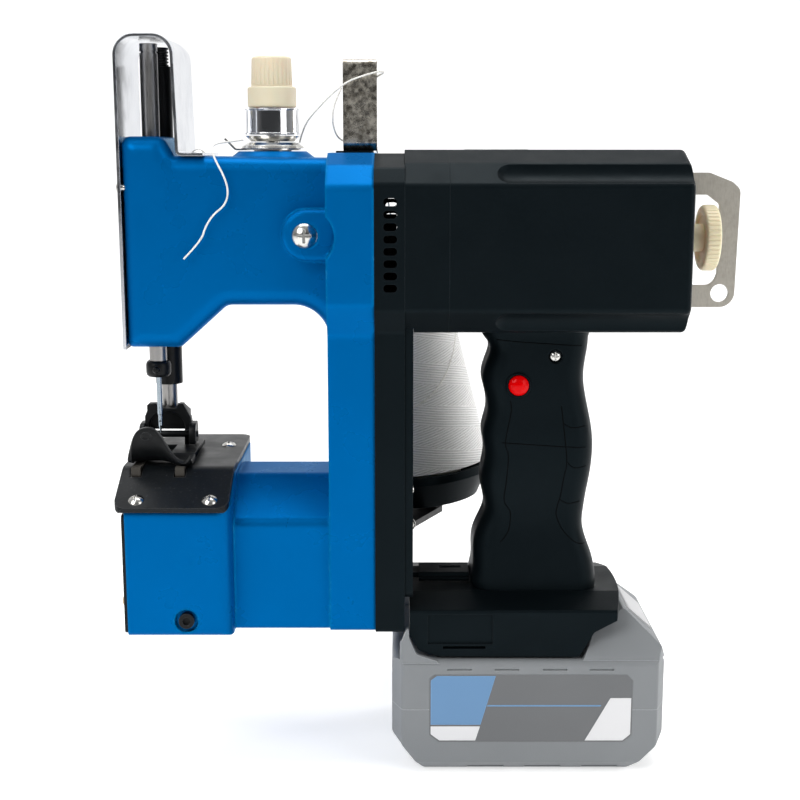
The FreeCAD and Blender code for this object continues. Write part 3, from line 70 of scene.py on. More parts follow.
MM = 0.001


# ---------------------------------------------------------------- material helpers
class Shader:
    """A procedural material under construction: its node tree, its surface shader and shortcuts."""

    def __init__(self, name):
        self.material = bpy.data.materials.new(name)
        self.material.use_nodes = True
        self.tree = self.material.node_tree
        self.surface = self.tree.nodes["Principled BSDF"]
        self.place = self.node("ShaderNodeTexCoord").outputs["Object"]

    def node(self, kind, **settings):
        made = self.tree.nodes.new(kind)
        for key, value in settings.items():
            setattr(made, key, value)
        return made

    def link(self, source, target):
        self.tree.links.new(source, target)

    def set(self, **values):
        names = {"metal": "Metallic", "rough": "Roughness", "sheen": "Sheen Weight",
                 "specular": "Specular IOR Level", "specular_tint": "Specular Tint",
                 "subsurface": "Subsurface Weight"}
        for key, value in values.items():
            self.surface.inputs[names[key]].default_value = value

    def stretched(self, scale):
        mapping = self.node("ShaderNodeMapping")
        mapping.inputs["Scale"].default_value = scale
        self.link(self.place, mapping.inputs["Vector"])
        return mapping.outputs["Vector"]

    def noise(self, scale, detail=3.0, rough=0.5, stretch=None, distortion=0.0):
        texture = self.node("ShaderNodeTexNoise")
        texture.inputs["Scale"].default_value = scale
        texture.inputs["Detail"].default_value = detail
        texture.inputs["Roughness"].default_value = rough
        texture.inputs["Distortion"].default_value = distortion
        self.link(self.stretched(stretch) if stretch else self.place, texture.inputs["Vector"])
        return texture.outputs["Fac"]

    def ramp(self, value, stops):
        """Colour ramp; stops are (position, colour), and a colour may be one grey number."""
        made = self.node("ShaderNodeValToRGB")
        elements = made.color_ramp.elements
        while len(elements) < len(stops):
            elements.new(0.5)
        for element, (position, colour) in zip(elements, stops):
            element.position = position
            rgb = (colour,) * 3 if isinstance(colour, (int, float)) else tuple(colour)
            element.color = rgb + (1.0,)
        self.link(value, made.inputs["Fac"])
        return made.outputs["Color"]

    def mix(self, factor, first, second, mode="MIX"):
        made = self.node("ShaderNodeMix", data_type="RGBA", blend_type=mode)
        sockets = {"Factor": made.inputs[0], "A": made.inputs[6], "B": made.inputs[7]}
        for key, value in (("Factor", factor), ("A", first), ("B", second)):
            if isinstance(value, bpy.types.NodeSocket):
                self.link(value, sockets[key])
            elif key == "Factor":
                sockets[key].default_value = value
            else:
                sockets[key].default_value = tuple(value) + (1.0,)
        return made.outputs[2]

    def math(self, operation, first, second=0.0):
        made = self.node("ShaderNodeMath", operation=operation)
        for socket, value in zip(made.inputs, (first, second)):
            if isinstance(value, bpy.types.NodeSocket):
                self.link(value, socket)
            else:
                socket.default_value = value
        return made.outputs[0]

    def axis(self, name):
        parts = self.node("ShaderNodeSeparateXYZ")
        self.link(self.place, parts.inputs[0])
        return parts.outputs[name]

    def soft_edges(self, radius):
        """Normal with corners rounded over a small radius."""
        made = self.node("ShaderNodeBevel", samples=4)
        made.inputs["Radius"].default_value = radius
        return made.outputs["Normal"]

    def edge_mask(self, rounded):
        """1 on flat stretches, falling towards 0 on the edges that the rounded normal shows."""
        geometry = self.node("ShaderNodeNewGeometry")
        dot = self.node("ShaderNodeVectorMath", operation="DOT_PRODUCT")
        self.link(rounded, dot.inputs[0])
        self.link(geometry.outputs["Normal"], dot.inputs[1])
        return dot.outputs["Value"]

    def bump(self, height, depth, strength=1.0, under=None):
        made = self.node("ShaderNodeBump")
        made.inputs["Distance"].default_value = depth
        made.inputs["Strength"].default_value = strength
        self.link(height, made.inputs["Height"])
        if under is not None:
            self.link(under, made.inputs["Normal"])
        return made.outputs["Normal"]

    def colour(self, socket):
        self.link(socket, self.surface.inputs["Base Color"])

    def roughness(self, socket):
        self.link(socket, self.surface.inputs["Roughness"])

    def normal(self, socket):
        self.link(socket, self.surface.inputs["Normal"])


# ---------------------------------------------------------------- materials
def blue_paint():
    s = Shader("blue_paint")
    edges = s.soft_edges(0.0022)
    patches = s.ramp(s.noise(14.0, 3.0), [(0.3, (0.0, 0.098, 0.308)), (0.7, (0.0, 0.104, 0.324))])
    # painted highlight: light cyan patches along the edges, broken up by noise
    edge_glint_zone = s.ramp(s.edge_mask(edges), [(0.60, 0.8), (0.86, 0.0)])
    glint_breakup = s.ramp(s.noise(260.0, 5.0, 0.7), [(0.55, 0.0), (0.68, 1.0)])
    painted_edge_glints = s.mix(edge_glint_zone, (0.0, 0.0, 0.0), glint_breakup)
    # painted highlight: a smooth lighter blue band along every edge
    rim = s.ramp(s.edge_mask(edges), [(0.70, 0.50), (0.98, 0.0)])
    body = s.mix(rim, patches, (0.0, 0.27, 0.58))
    s.colour(s.mix(painted_edge_glints, body, (0.05, 0.40, 0.74)))
    s.roughness(s.ramp(s.noise(45.0, 4.0), [(0.3, 0.24), (0.7, 0.36)]))
    peel = s.bump(s.noise(650.0, 2.0), 0.00006, 0.5, edges)
    s.normal(s.bump(s.noise(60.0, 1.0), 0.00022, 0.20, peel))
    s.set(metal=0.35, specular=0.03, specular_tint=(0.0, 0.62, 0.92, 1.0))
    return s.material


def moulded_plastic(name, dark, light, rough, grain=0.00005, edge=0.0005, specular=0.30,
                    tint=(1.0, 1.0, 1.0, 1.0)):
    """Matt moulded plastic with a fine spark-eroded grain."""
    s = Shader(name)
    edges = s.soft_edges(edge)
    # painted highlight: the edges get a much lighter colour than the body
    lighter_edges = s.ramp(s.edge_mask(edges), [(0.86, 0.65), (0.98, 0.0)])
    base = s.mix(s.noise(30.0, 4.0), dark, light)
    highlight_colour = tuple(min(1.0, 2.2 * c + 0.008) for c in light)
    s.colour(s.mix(lighter_edges, base, highlight_colour))
    s.roughness(s.ramp(s.noise(70.0, 4.0), [(0.3, rough - 0.05), (0.7, rough + 0.07)]))
    s.normal(s.bump(s.noise(2300.0, 3.0, 0.6), grain, 0.9, edges))
    s.set(specular=specular, specular_tint=tint)
    return s.material


def polished_metal(name, colour, rough, smears=0.10):
    s = Shader(name)
    edges = s.soft_edges(0.0004)
    shade = tuple(0.84 * c for c in colour)
    s.colour(s.mix(s.noise(35.0, 5.0), colour, shade))
    s.roughness(s.ramp(s.noise(60.0, 6.0, 0.65), [(0.35, rough), (0.75, rough + smears)]))
    s.normal(s.bump(s.noise(900.0, 2.0, 0.5, (1.0, 1.0, 0.08)), 0.00001, 0.4, edges))
    s.set(metal=1.0)
    return s.material


def machined_steel(name, colour, rough, lay=(1.0, 1.0, 14.0), stain=0.0):
    """Bare steel with fine tool marks across the lay, and stains where asked."""
    s = Shader(name)
    edges = s.soft_edges(0.0003)
    shade = tuple(0.62 * c for c in colour)
    marks = s.noise(420.0, 4.0, 0.6, lay)
    base = s.mix(marks, shade, colour)
    if stain > 0.0:
        spots = s.ramp(s.noise(380.0, 8.0, 0.72), [(0.42, 0.0), (0.62, stain)])
        base = s.mix(spots, base, (0.10, 0.085, 0.065))
    s.colour(base)
    s.roughness(s.ramp(marks, [(0.3, rough), (0.8, rough + 0.20)]))
    s.normal(s.bump(marks, 0.00002, 0.5, edges))
    s.set(metal=1.0)
    return s.material


def black_oxide():
    s = Shader("black_oxide")
    edges = s.soft_edges(0.0004)
    lighter_edges = s.ramp(s.edge_mask(edges), [(0.85, 0.5), (0.98, 0.0)])
    base = s.mix(s.noise(90.0, 5.0), (0.0025, 0.003, 0.0035), (0.006, 0.007, 0.008))
    s.colour(s.mix(lighter_edges, base, (0.08, 0.082, 0.085)))
    s.roughness(s.ramp(s.noise(140.0, 4.0), [(0.3, 0.30), (0.7, 0.46)]))
    s.normal(s.bump(s.noise(1500.0, 3.0), 0.00003, 0.6, edges))
    s.set(metal=0.15, specular=0.20)
    return s.material


def black_sheet():
    s = Shader("black_sheet")
    edges = s.soft_edges(0.0005)
    lighter_edges = s.ramp(s.edge_mask(edges), [(0.84, 0.7), (0.98, 0.0)])
    coating, speck = (0.0055, 0.0070, 0.0085), (0.045, 0.047, 0.050)
    specks = s.ramp(s.noise(900.0, 4.0, 0.7), [(0.60, coating), (0.74, speck)])
    s.colour(s.mix(lighter_edges, specks, (0.09, 0.092, 0.095)))
    s.roughness(s.ramp(s.noise(80.0, 5.0), [(0.3, 0.28), (0.7, 0.42)]))
    s.normal(s.bump(s.noise(1200.0, 3.0), 0.00005, 0.8, edges))
    s.set(specular=0.13)
    return s.material


def cream_plastic(name, pale, deep):
    s = Shader(name)
    edges = s.soft_edges(0.0004)
    tint = s.mix(s.noise(60.0, 4.0), pale, deep)
    # darker brown along the edges and in creases
    darker_edges = s.ramp(s.edge_mask(edges), [(0.80, 0.30), (0.97, 0.0)])
    s.colour(s.mix(darker_edges, tint, (0.42, 0.35, 0.24)))
    s.roughness(s.ramp(s.noise(120.0, 3.0), [(0.3, 0.36), (0.7, 0.50)]))
    s.normal(s.bump(s.noise(900.0, 2.0), 0.00003, 0.5, edges))
    s.set(subsurface=0.10)
    return s.material


def red_button():
    s = Shader("red_button")
    s.colour(s.mix(s.noise(200.0, 3.0), (0.70, 0.0, 0.001), (0.58, 0.0, 0.0005)))
    s.roughness(s.ramp(s.noise(150.0, 3.0), [(0.3, 0.14), (0.7, 0.24)]))
    s.normal(s.bump(s.noise(700.0, 2.0), 0.00001, 0.4))
    s.set(specular=0.30, specular_tint=(1.0, 0.30, 0.32, 1.0))
    return s.material


def wound_thread(lean, foot):
    """Cross-wound yarn round a leaning cone: two crossed sets of strands, one on top in some bands."""
    s = Shader("wound_thread")
    local = s.node("ShaderNodeMapping", vector_type="TEXTURE")
    local.inputs["Location"].default_value = foot
    local.inputs["Rotation"].default_value = (0.0, lean, 0.0)
    s.link(s.place, local.inputs["Vector"])
    s.place = local.outputs["Vector"]
    turn = s.math("ARCTAN2", s.axis("Y"), s.axis("X"))
    strand_pitch = 0.0012
    band_pitch = 0.021
    crossing = 34.0
    rise = s.math("MULTIPLY", s.axis("Z"), 2.0 * math.pi / strand_pitch)
    sets = []
    for hand in (crossing, -crossing):
        sets.append(s.math("SINE", s.math("ADD", rise, s.math("MULTIPLY", turn, hand))))
    bands = s.math("SINE", s.math("ADD", s.math("MULTIPLY", s.axis("Z"), 2.0 * math.pi / band_pitch),
                                  s.math("MULTIPLY", turn, 2.0)))
    wander = s.math("MULTIPLY", s.noise(80.0, 3.0), 1.6)
    upper = s.ramp(s.math("ADD", s.math("ADD", bands, wander), -0.3), [(0.35, 0.0), (0.65, 1.0)])
    first = s.ramp(s.math("MULTIPLY", s.math("ADD", sets[0], 1.0), 0.5), [(0.0, 0.0), (1.0, 1.0)])
    second = s.ramp(s.math("MULTIPLY", s.math("ADD", sets[1], 1.0), 0.5), [(0.0, 0.0), (1.0, 1.0)])
    ridges = s.mix(upper, first, second)
    fuzz = s.noise(1600.0, 3.0, 0.6)
    # painted shade: darker between the strands, where the ridges are low
    shaded_strands = s.ramp(ridges, [(0.05, (0.60, 0.595, 0.58)), (0.55, (0.90, 0.895, 0.88))])
    s.colour(s.mix(s.ramp(fuzz, [(0.35, 0.0), (0.70, 0.45)]), shaded_strands, (0.93, 0.925, 0.91)))
    s.roughness(s.ramp(fuzz, [(0.3, 0.72), (0.7, 0.92)]))
    s.normal(s.bump(fuzz, 0.00004, 0.6, s.bump(ridges, 0.00022, 0.9)))
    s.set(specular=0.2, sheen=0.25)
    return s.material


def sewing_thread():
    s = Shader("sewing_thread")
    twist = s.noise(2600.0, 2.0, 0.5, (1.0, 1.0, 0.35))
    # painted shade: the colour follows the twist bump and is darker where it is low
    s.colour(s.ramp(twist, [(0.30, (0.64, 0.63, 0.58)), (0.65, (0.90, 0.89, 0.85))]))
    s.roughness(s.ramp(s.noise(700.0, 2.0), [(0.3, 0.65), (0.7, 0.85)]))
    s.normal(s.bump(twist, 0.00010, 0.9))
    s.set(specular=0.2, sheen=0.3)
    return s.material


JOINTS = {joint["name"]: joint for joint in frame["record"]["behaviour"]["joints"]}
CONE_FOOT = tuple(JOINTS["spool_turn"]["pos_m"])
CONE_LEAN = math.atan2(JOINTS["spool_turn"]["axis"][0], JOINTS["spool_turn"]["axis"][2])

BLUE = blue_paint()
BLACK = moulded_plastic("black_plastic", (0.0016, 0.0030, 0.0040), (0.0032, 0.0050, 0.0062), 0.42,
                        specular=0.085, tint=(0.62, 0.88, 1.0, 1.0))
GREY = moulded_plastic("grey_plastic", (0.195, 0.206, 0.215), (0.230, 0.242, 0.251), 0.46, specular=0.2)
PALE = moulded_plastic("pale_plastic", (0.52, 0.52, 0.53), (0.60, 0.60, 0.61), 0.44)
CORE = moulded_plastic("core_plastic", (0.52, 0.50, 0.44), (0.60, 0.58, 0.52), 0.40)
CHROME = polished_metal("chrome", (0.80, 0.81, 0.83), 0.06)
PLATE_CHROME = polished_metal("plate_chrome", (0.66, 0.68, 0.72), 0.10, 0.20)
NEEDLE_STEEL = polished_metal("needle_steel", (0.36, 0.42, 0.47), 0.20)
BAR_STEEL = machined_steel("bar_steel", (0.40, 0.39, 0.38), 0.26, (12.0, 12.0, 0.3))
STEEL = machined_steel("steel", (0.56, 0.55, 0.53), 0.24)
WORN_STEEL = machined_steel("worn_steel", (0.82, 0.77, 0.67), 0.20, (1.0, 1.0, 1.0), 0.85)
GUARD_STEEL = machined_steel("guard_steel", (0.54, 0.51, 0.45), 0.36, (6.0, 1.0, 1.0), 0.10)
SCREW_STEEL = polished_metal("screw_steel", (0.66, 0.65, 0.62), 0.16)
DULL_STEEL = machined_steel("dull_steel", (0.095, 0.088, 0.078), 0.44)
IRON = machined_steel("cast_iron", (0.20, 0.19, 0.18), 0.42)
BRONZE = machined_steel("bronze", (0.50, 0.34, 0.16), 0.32)
RUBBER = moulded_plastic("belt_rubber", (0.010, 0.010, 0.010), (0.018, 0.018, 0.018), 0.62)
OXIDE = black_oxide()
SHEET = black_sheet()
CREAM = cream_plastic("cream_plastic", (0.69, 0.61, 0.45), (0.61, 0.54, 0.39))
# painted light: a brighter copy of the cream plastic, for the handwheel, to offset the shade it gets
BRIGHTENED_WHEEL_CREAM = cream_plastic("wheel_cream_brightened", (0.86, 0.76, 0.52), (0.78, 0.68, 0.46))
RED = red_button()
WOUND = wound_thread(CONE_LEAN, CONE_FOOT)
THREAD = sewing_thread()
# painted shade: a darker, duller black than the grip, for the lines that stand for its grooves
GROOVE_SHADE = moulded_plastic("groove_shade_black", (0.0004, 0.0006, 0.0008), (0.0010, 0.0012, 0.0015), 0.70,
                       specular=0.02)
LABEL_BLUE = moulded_plastic("label_blue", (0.115, 0.240, 0.420), (0.135, 0.265, 0.450), 0.34, 0.00001)
LABEL_WHITE = moulded_plastic("label_white", (0.66, 0.66, 0.67), (0.72, 0.72, 0.73), 0.34, 0.00001)
LABEL_GREY = moulded_plastic("label_grey", (0.125, 0.130, 0.135), (0.145, 0.150, 0.155), 0.34, 0.00001)
FOIL = polished_metal("foil", (0.62, 0.64, 0.66), 0.24)

FINISHES = {
    "blue_paint": BLUE, "chrome": CHROME, "steel": STEEL, "black_oxide": OXIDE, "black_plastic": BLACK,
    "black_plate": SHEET, "cream_plastic": CREAM, "red_plastic": RED, "grey_plastic": GREY,
    "pale_plastic": PALE, "belt_rubber": RUBBER, "cast_iron": IRON, "cell_steel": PALE, "thread": WOUND,
    "core_plastic": CORE, "bronze": BRONZE,
}
# nodes whose look differs from the usual finish of their slot
SPECIAL = {
    "face_plate": PLATE_CHROME, "thread_bracket": WORN_STEEL, "guard_bracket": GUARD_STEEL,
    "machine_screws": SCREW_STEEL, "lever_pivot_pin": SCREW_STEEL, "thread_guide": SCREW_STEEL,
    "tension_discs": SCREW_STEEL, "needle": NEEDLE_STEEL, "needle_bar": BAR_STEEL,
    "presser_bar": BAR_STEEL, "feed_dog": DULL_STEEL, "spool_bracket": OXIDE, "handwheel": BRIGHTENED_WHEEL_CREAM,
}

for entry in frame["record"]["subparts"]:
    node = NODES[entry["node"]]
    node.data.materials.clear()
    node.data.materials.append(SPECIAL.get(entry["node"], FINISHES[entry["material_slot"]]))


# ---------------------------------------------------------------- camera, floor and light
def point_at(thing, target):
    direction = Vector(target) - thing.location
    thing.rotation_euler = direction.to_track_quat("-Z", "Y").to_euler()


def add_camera():
    data = bpy.data.cameras.new("camera")
    data.lens = 60.8
    data.sensor_width = 36.0
    camera = bpy.data.objects.new("camera", data)
    bpy.context.scene.collection.objects.link(camera)
    camera.location = (-0.0555, -0.589, 0.2676)
    camera.rotation_euler = (math.radians(79.5), 0.0, 0.0)
    bpy.context.scene.camera = camera


def add_light(name, place, target, size, power, tint=(1.0, 1.0, 1.0)):
    data = bpy.data.lights.new(name, "AREA")
    data.shape = "RECTANGLE"
    data.size = size[0]
    data.size_y = size[1]
    data.energy = power
    data.color = tint
    lamp = bpy.data.objects.new(name, data)
    bpy.context.scene.collection.objects.link(lamp)
    lamp.location = place
    point_at(lamp, target)


def add_floor():
    """Pale sweep: a floor that curves up into a wall behind the object."""
    level = CAD_BOX[0][2] - 0.0002
    wall = 1.6
    curve = 0.9
    steps = 24
    profile = [(-3.0, level), (wall - curve, level)]
    for step in range(1, steps + 1):
        angle = math.radians(90.0 * step / steps)
        profile.append((wall - curve + curve * math.sin(angle), level + curve * (1.0 - math.cos(angle))))
    profile.append((wall, 3.5))
    form = bmesh.new()
    rows = [[form.verts.new((x, y, z)) for y, z in profile] for x in (-4.0, 4.0)]
    for i in range(len(profile) - 1):
        face = form.faces.new((rows[0][i], rows[1][i], rows[1][i + 1], rows[0][i + 1]))
        face.smooth = True
    mesh = bpy.data.meshes.new("sweep")
    form.to_mesh(mesh)
    form.free()
    sweep = bpy.data.objects.new("sweep", mesh)
    bpy.context.scene.collection.objects.link(sweep)
    s = Shader("sweep_paper")
    s.colour(s.ramp(s.noise(3.0, 2.0), [(0.3, 0.84), (0.7, 0.87)]))
    s.set(rough=0.85, specular=0.1)
    s.surface.inputs["Emission Color"].default_value = (1.0, 1.0, 1.0, 1.0)
    s.surface.inputs["Emission Strength"].default_value = 0.42
    mesh.materials.append(s.material)


def add_world():
    """Studio surround: dark in front of the object, bright above and behind it."""
    world = bpy.data.worlds.new("studio")
    world.use_nodes = True
    tree = world.node_tree
    bright_side = (0.0, 0.35, 0.30)
    direction = tree.nodes.new("ShaderNodeTexCoord")
    weigh = tree.nodes.new("ShaderNodeVectorMath")
    weigh.operation = "DOT_PRODUCT"
    weigh.inputs[1].default_value = bright_side
    tree.links.new(direction.outputs["Generated"], weigh.inputs[0])
    shift = tree.nodes.new("ShaderNodeMath")
    shift.inputs[1].default_value = 0.42
    tree.links.new(weigh.outputs["Value"], shift.inputs[0])
    ramp = tree.nodes.new("ShaderNodeValToRGB")
    ramp.color_ramp.elements[0].position = 0.15
    ramp.color_ramp.elements[0].color = (0.06, 0.062, 0.065, 1.0)
    ramp.color_ramp.elements[1].position = 0.85
    ramp.color_ramp.elements[1].color = (0.9, 0.9, 0.9, 1.0)
    tree.links.new(shift.outputs[0], ramp.inputs["Fac"])
    tree.links.new(ramp.outputs["Color"], tree.nodes["Background"].inputs["Color"])
    tree.nodes["Background"].inputs["Strength"].default_value = 0.75
    bpy.context.scene.world = world
    bpy.context.scene.view_settings.view_transform = "Standard"


add_camera()
add_floor()
add_world()
add_light("key", (-0.75, -0.85, 0.95), (-0.05, 0.0, 0.16), (0.7, 0.7), 9.5)
add_light("fill", (0.95, -0.75, 0.55), (-0.05, 0.0, 0.16), (0.6, 0.9), 4.5)
add_light("top", (-0.05, 0.10, 1.1), (-0.05, 0.0, 0.15), (1.0, 0.6), 8.0)
add_light("edge", (1.0, 0.55, 0.45), (0.0, 0.0, 0.20), (0.25, 1.0), 4.0)


# ---------------------------------------------------------------- loose threads
# the routes of part.py, in millimetres
SUPPLY_ROUTE = [(-54.4, 56.2, 200.0), (-57.5, 58.5, 221.0), (-61.0, 60.5, 244.0), (-69.0, 22.0, 281.0),
                (-69.8, 10.5, 292.0), (-67.0, 5.4, 297.6), (-61.9, 1.4, 299.9), (-63.6, -4.2, 300.2),
                (-70.5, -5.2, 298.4), (-79.5, -4.8, 295.2), (-91.0, 0.4, 284.6), (-97.0, 4.4, 277.6),
                (-98.9, 5.9, 270.6)]
SLACK_ROUTE = [(-80.4, -0.6, 293.4), (-83.4, -1.6, 287.0), (-84.4, -1.8, 281.0), (-83.8, 1.4, 275.8),
               (-81.4, 5.6, 271.4), (-76.2, 8.2, 270.0)]
TAIL_ROUTE = [(-121.5, -9.8, 271.6), (-126.5, -12.5, 270.9), (-131.4, -17.6, 270.2), (-133.4, -23.8, 268.6),
              (-131.2, -27.7, 263.6), (-127.4, -27.6, 256.4), (-125.9, -27.7, 250.2), (-127.6, -27.5, 245.0),
              (-132.6, -27.6, 241.2), (-136.0, -27.5, 236.0), (-137.6, -27.7, 230.6), (-145.2, -27.6, 223.0)]
THREAD_DIAMETER = 0.0008


def add_thread(name, route):
    data = bpy.data.curves.new(name, "CURVE")
    data.dimensions = "3D"
    spline = data.splines.new("NURBS")
    spline.points.add(len(route) - 1)
    for point, (x, y, z) in zip(spline.points, route):
        point.co = (x * MM, y * MM, z * MM, 1.0)
    spline.order_u = 3
    spline.use_endpoint_u = True
    spline.resolution_u = 12
    data.bevel_depth = THREAD_DIAMETER / 2
    data.bevel_resolution = 3
    data.use_fill_caps = True
    thread = bpy.data.objects.new(name, data)
    bpy.context.scene.collection.objects.link(thread)
    data.materials.append(THREAD)
    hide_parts(name.replace("line_", "thread_"))
    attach(thread, "machine")


add_thread("line_supply", SUPPLY_ROUTE)
add_thread("line_slack", SLACK_ROUTE)
add_thread("line_tail", TAIL_ROUTE)


# ---------------------------------------------------------------- piece helpers
# how the two coordinates of a flat outline and its thickness lie in the object's frame
PLANES = {"xz": Matrix(((1, 0, 0, 0), (0, 0, -1, 0), (0, 1, 0, 0), (0, 0, 0, 1))),
          "yz": Matrix(((0, 0, 1, 0), (1, 0, 0, 0), (0, 1, 0, 0), (0, 0, 0, 1))),
          "xy": Matrix.Identity(4)}


def add_piece(name, data, material, body):
    piece = bpy.data.objects.new(name, data)
    bpy.context.scene.collection.objects.link(piece)
    data.materials.clear()
    data.materials.append(material)
    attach(piece, body)
    return piece


def arc(centre, radii, start, end, steps=12):
    """Points in millimetres along part of an ellipse, between two angles in degrees."""
    points = []
    for step in range(steps + 1):
        angle = math.radians(start + (end - start) * step / steps)
        points.append((centre[0] + radii[0] * math.cos(angle), centre[1] + radii[1] * math.sin(angle)))
    return points


def plate(outlines, plane, near, far, edge=0.3):
    """Mesh of a flat piece with rounded edges; the first outline is its rim and the others are holes."""
    curve = bpy.data.curves.new("outline", "CURVE")
    curve.dimensions = "2D"
    curve.fill_mode = "BOTH"
    curve.extrude = (abs(far - near) / 2 - edge) * MM
    curve.bevel_depth = edge * MM
    curve.bevel_resolution = 2
    curve.offset = -edge * MM
    for outline in outlines:
        spline = curve.splines.new("POLY")
        spline.points.add(len(outline) - 1)
        spline.use_cyclic_u = True
        for point, (u, v) in zip(spline.points, outline):
            point.co = (u * MM, v * MM, 0.0, 1.0)
    holder = bpy.data.objects.new("holder", curve)
    mesh = bpy.data.meshes.new_from_object(holder)
    bpy.data.objects.remove(holder)
    bpy.data.curves.remove(curve)
    middle = (near + far) / 2 * MM
    shift = {"xz": (0, middle, 0), "yz": (middle, 0, 0), "xy": (0, 0, middle)}[plane]
    mesh.transform(Matrix.Translation(shift) @ PLANES[plane])
    return mesh


def turned_form(profile, centre, axis, segments=40):
    """Mesh turned round an axis through centre; the profile is (radius, distance along the axis), closed."""
    form = bmesh.new()
    across = {"x": (Vector((0, 1, 0)), Vector((0, 0, 1)), Vector((1, 0, 0))),
              "y": (Vector((0, 0, 1)), Vector((1, 0, 0)), Vector((0, 1, 0))),
              "z": (Vector((1, 0, 0)), Vector((0, 1, 0)), Vector((0, 0, 1)))}[axis]
    rings = []
    for step in range(segments):
        angle = 2 * math.pi * step / segments
        outward = across[0] * math.cos(angle) + across[1] * math.sin(angle)
        points = [Vector(centre) + outward * r + across[2] * h for r, h in profile]
        rings.append([form.verts.new(point * MM) for point in points])
    for step in range(segments):
        here, there = rings[step], rings[(step + 1) % segments]
        for i in range(len(profile)):
            j = (i + 1) % len(profile)
            form.faces.new((here[i], there[i], there[j], here[j])).smooth = True
    bmesh.ops.remove_doubles(form, verts=form.verts, dist=1e-7)
    bmesh.ops.recalc_face_normals(form, faces=form.faces)
    mesh = bpy.data.meshes.new("turned")
    form.to_mesh(mesh)
    form.free()
    return mesh


def joined(name, parts):
    form = bmesh.new()
    for part in parts:
        form.from_mesh(part)
        bpy.data.meshes.remove(part)
    mesh = bpy.data.meshes.new(name)
    form.to_mesh(mesh)
    form.free()
    return mesh


def flowing(route, steps=8):
    """Smooth line through the points of a route."""
    ends = [route[0]] + list(route) + [route[-1]]
    line = []
    for a, b, c, d in zip(ends, ends[1:], ends[2:], ends[3:]):
        for step in range(steps):
            t = step / steps
            line.append(tuple(0.5 * (2 * q + (r - p) * t + (2 * p - 5 * q + 4 * r - s) * t * t
                                     + (3 * q - p - 3 * r + s) * t ** 3)
                              for p, q, r, s in zip(a, b, c, d)))
    return line + [route[-1]]


def surface_line(name, node, route, facing, radius=0.20, material=GROOVE_SHADE, body="machine"):
    """Fine line that follows a node's side face; the route is given in the XZ plane."""
    outside = facing * 60.0 * MM
    skin = NODES[node].data
    tree = BVHTree.FromPolygons([v.co for v in skin.vertices], [face.vertices for face in skin.polygons])
    points = []
    for x, z in flowing(route):
        hit = tree.ray_cast(Vector((x * MM, outside, z * MM)), Vector((0.0, -facing, 0.0)))[0]
        if hit is not None:
            points.append(hit)
    curve = bpy.data.curves.new(name, "CURVE")
    curve.dimensions = "3D"
    curve.bevel_depth = radius * MM
    curve.bevel_resolution = 2
    curve.use_fill_caps = True
    spline = curve.splines.new("POLY")
    spline.points.add(len(points) - 1)
    for point, place in zip(spline.points, points):
        point.co = tuple(place) + (1.0,)
    return add_piece(name, curve, material, body)


def paint_patch(node, material, lowest, highest):
    """Gives the faces of a node inside a box (in millimetres) a material of their own."""
    mesh = NODES[node].data
    mesh.materials.append(material)
    index = len(mesh.materials) - 1
    for face in mesh.polygons:
        if all(low <= c / MM <= high for low, c, high in zip(lowest, face.center, highest)):
            face.material_index = index


# ---------------------------------------------------------------- grip and cone
# seams in the XZ plane, in millimetres: two across, one up the front, one up the back, three short ones
GRIP_SEAMS = [[(-14.1, 187.6), (-6.0, 186.7), (8.0, 185.7), (22.7, 184.8)],
              [(-11.3, 142.6), (2.0, 141.7), (14.0, 140.9), (25.1, 140.4)],
              [(-7.9, 161.0), (-7.4, 156.6), (-9.0, 147.8), (-9.8, 142.0), (-8.4, 136.6), (-9.1, 125.4),
               (-9.9, 116.4), (-7.1, 111.0), (-7.9, 102.8), (-11.4, 97.7)],
              [(14.2, 158.8), (15.3, 150.0), (16.4, 141.1), (17.0, 133.5), (15.8, 126.3), (14.7, 118.7),
               (13.5, 114.1), (13.1, 109.6), (16.3, 102.8), (21.7, 97.7), (26.2, 96.4)],
              [(15.3, 151.0), (19.0, 149.2), (24.6, 149.8)],
              [(17.0, 134.0), (20.4, 131.4), (25.6, 132.0)],
              [(14.4, 117.0), (18.0, 115.2), (23.4, 115.8)]]


def add_grip_details():
    for side, node, facing in (("near", "grip_near_half", -1.0), ("far", "grip_far_half", 1.0)):
        for number, route in enumerate(GRIP_SEAMS):
            surface_line("seam_%s_%d" % (side, number + 1), node, route, facing)
    low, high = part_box("run_button")
    centre = ((low.x + high.x) / 2 / MM, 0.0, (low.z + high.z) / 2 / MM)
    profile = [(4.5, -14.0), (5.6, -14.0), (5.6, -15.9), (5.2, -16.3), (4.8, -16.3), (4.5, -16.0)]
    bezel = turned_form(profile, centre, "y")
    add_piece("button_bezel", bezel, BLACK, "machine")


def add_cone_strand():
    """Slack strand on the winding: a quarter ellipse, level at the cone's foot and upright at its side."""
    start_x, foot_z = -60.0, 143.0
    reach, rise, steps = 32.0, 40.0, 10
    strand_radius = 0.36
    turns = [math.pi / 2 * step / steps for step in range(steps + 1)]
    route = [(start_x + reach * math.sin(turn), foot_z + rise * (1.0 - math.cos(turn))) for turn in turns]
    surface_line("cone_strand", "thread_cone", route, -1.0, strand_radius, THREAD, "spool")


# ---------------------------------------------------------------- plates and labels
def add_motor_plate():
    """Blank foil rating plate on top of the motor housing."""
    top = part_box("motor_housing")[1].z / MM
    outline = [(-28.0, -15.0), (-2.0, -15.0), (-2.0, -1.5), (-28.0, -1.5)]
    foil = plate([outline], "xy", top - 0.05, top + 0.15, 0.05)
    add_piece("rating_plate", foil, FOIL, "machine")


PANEL_HEIGHT = 0.10
FIELD_HEIGHT = 0.16
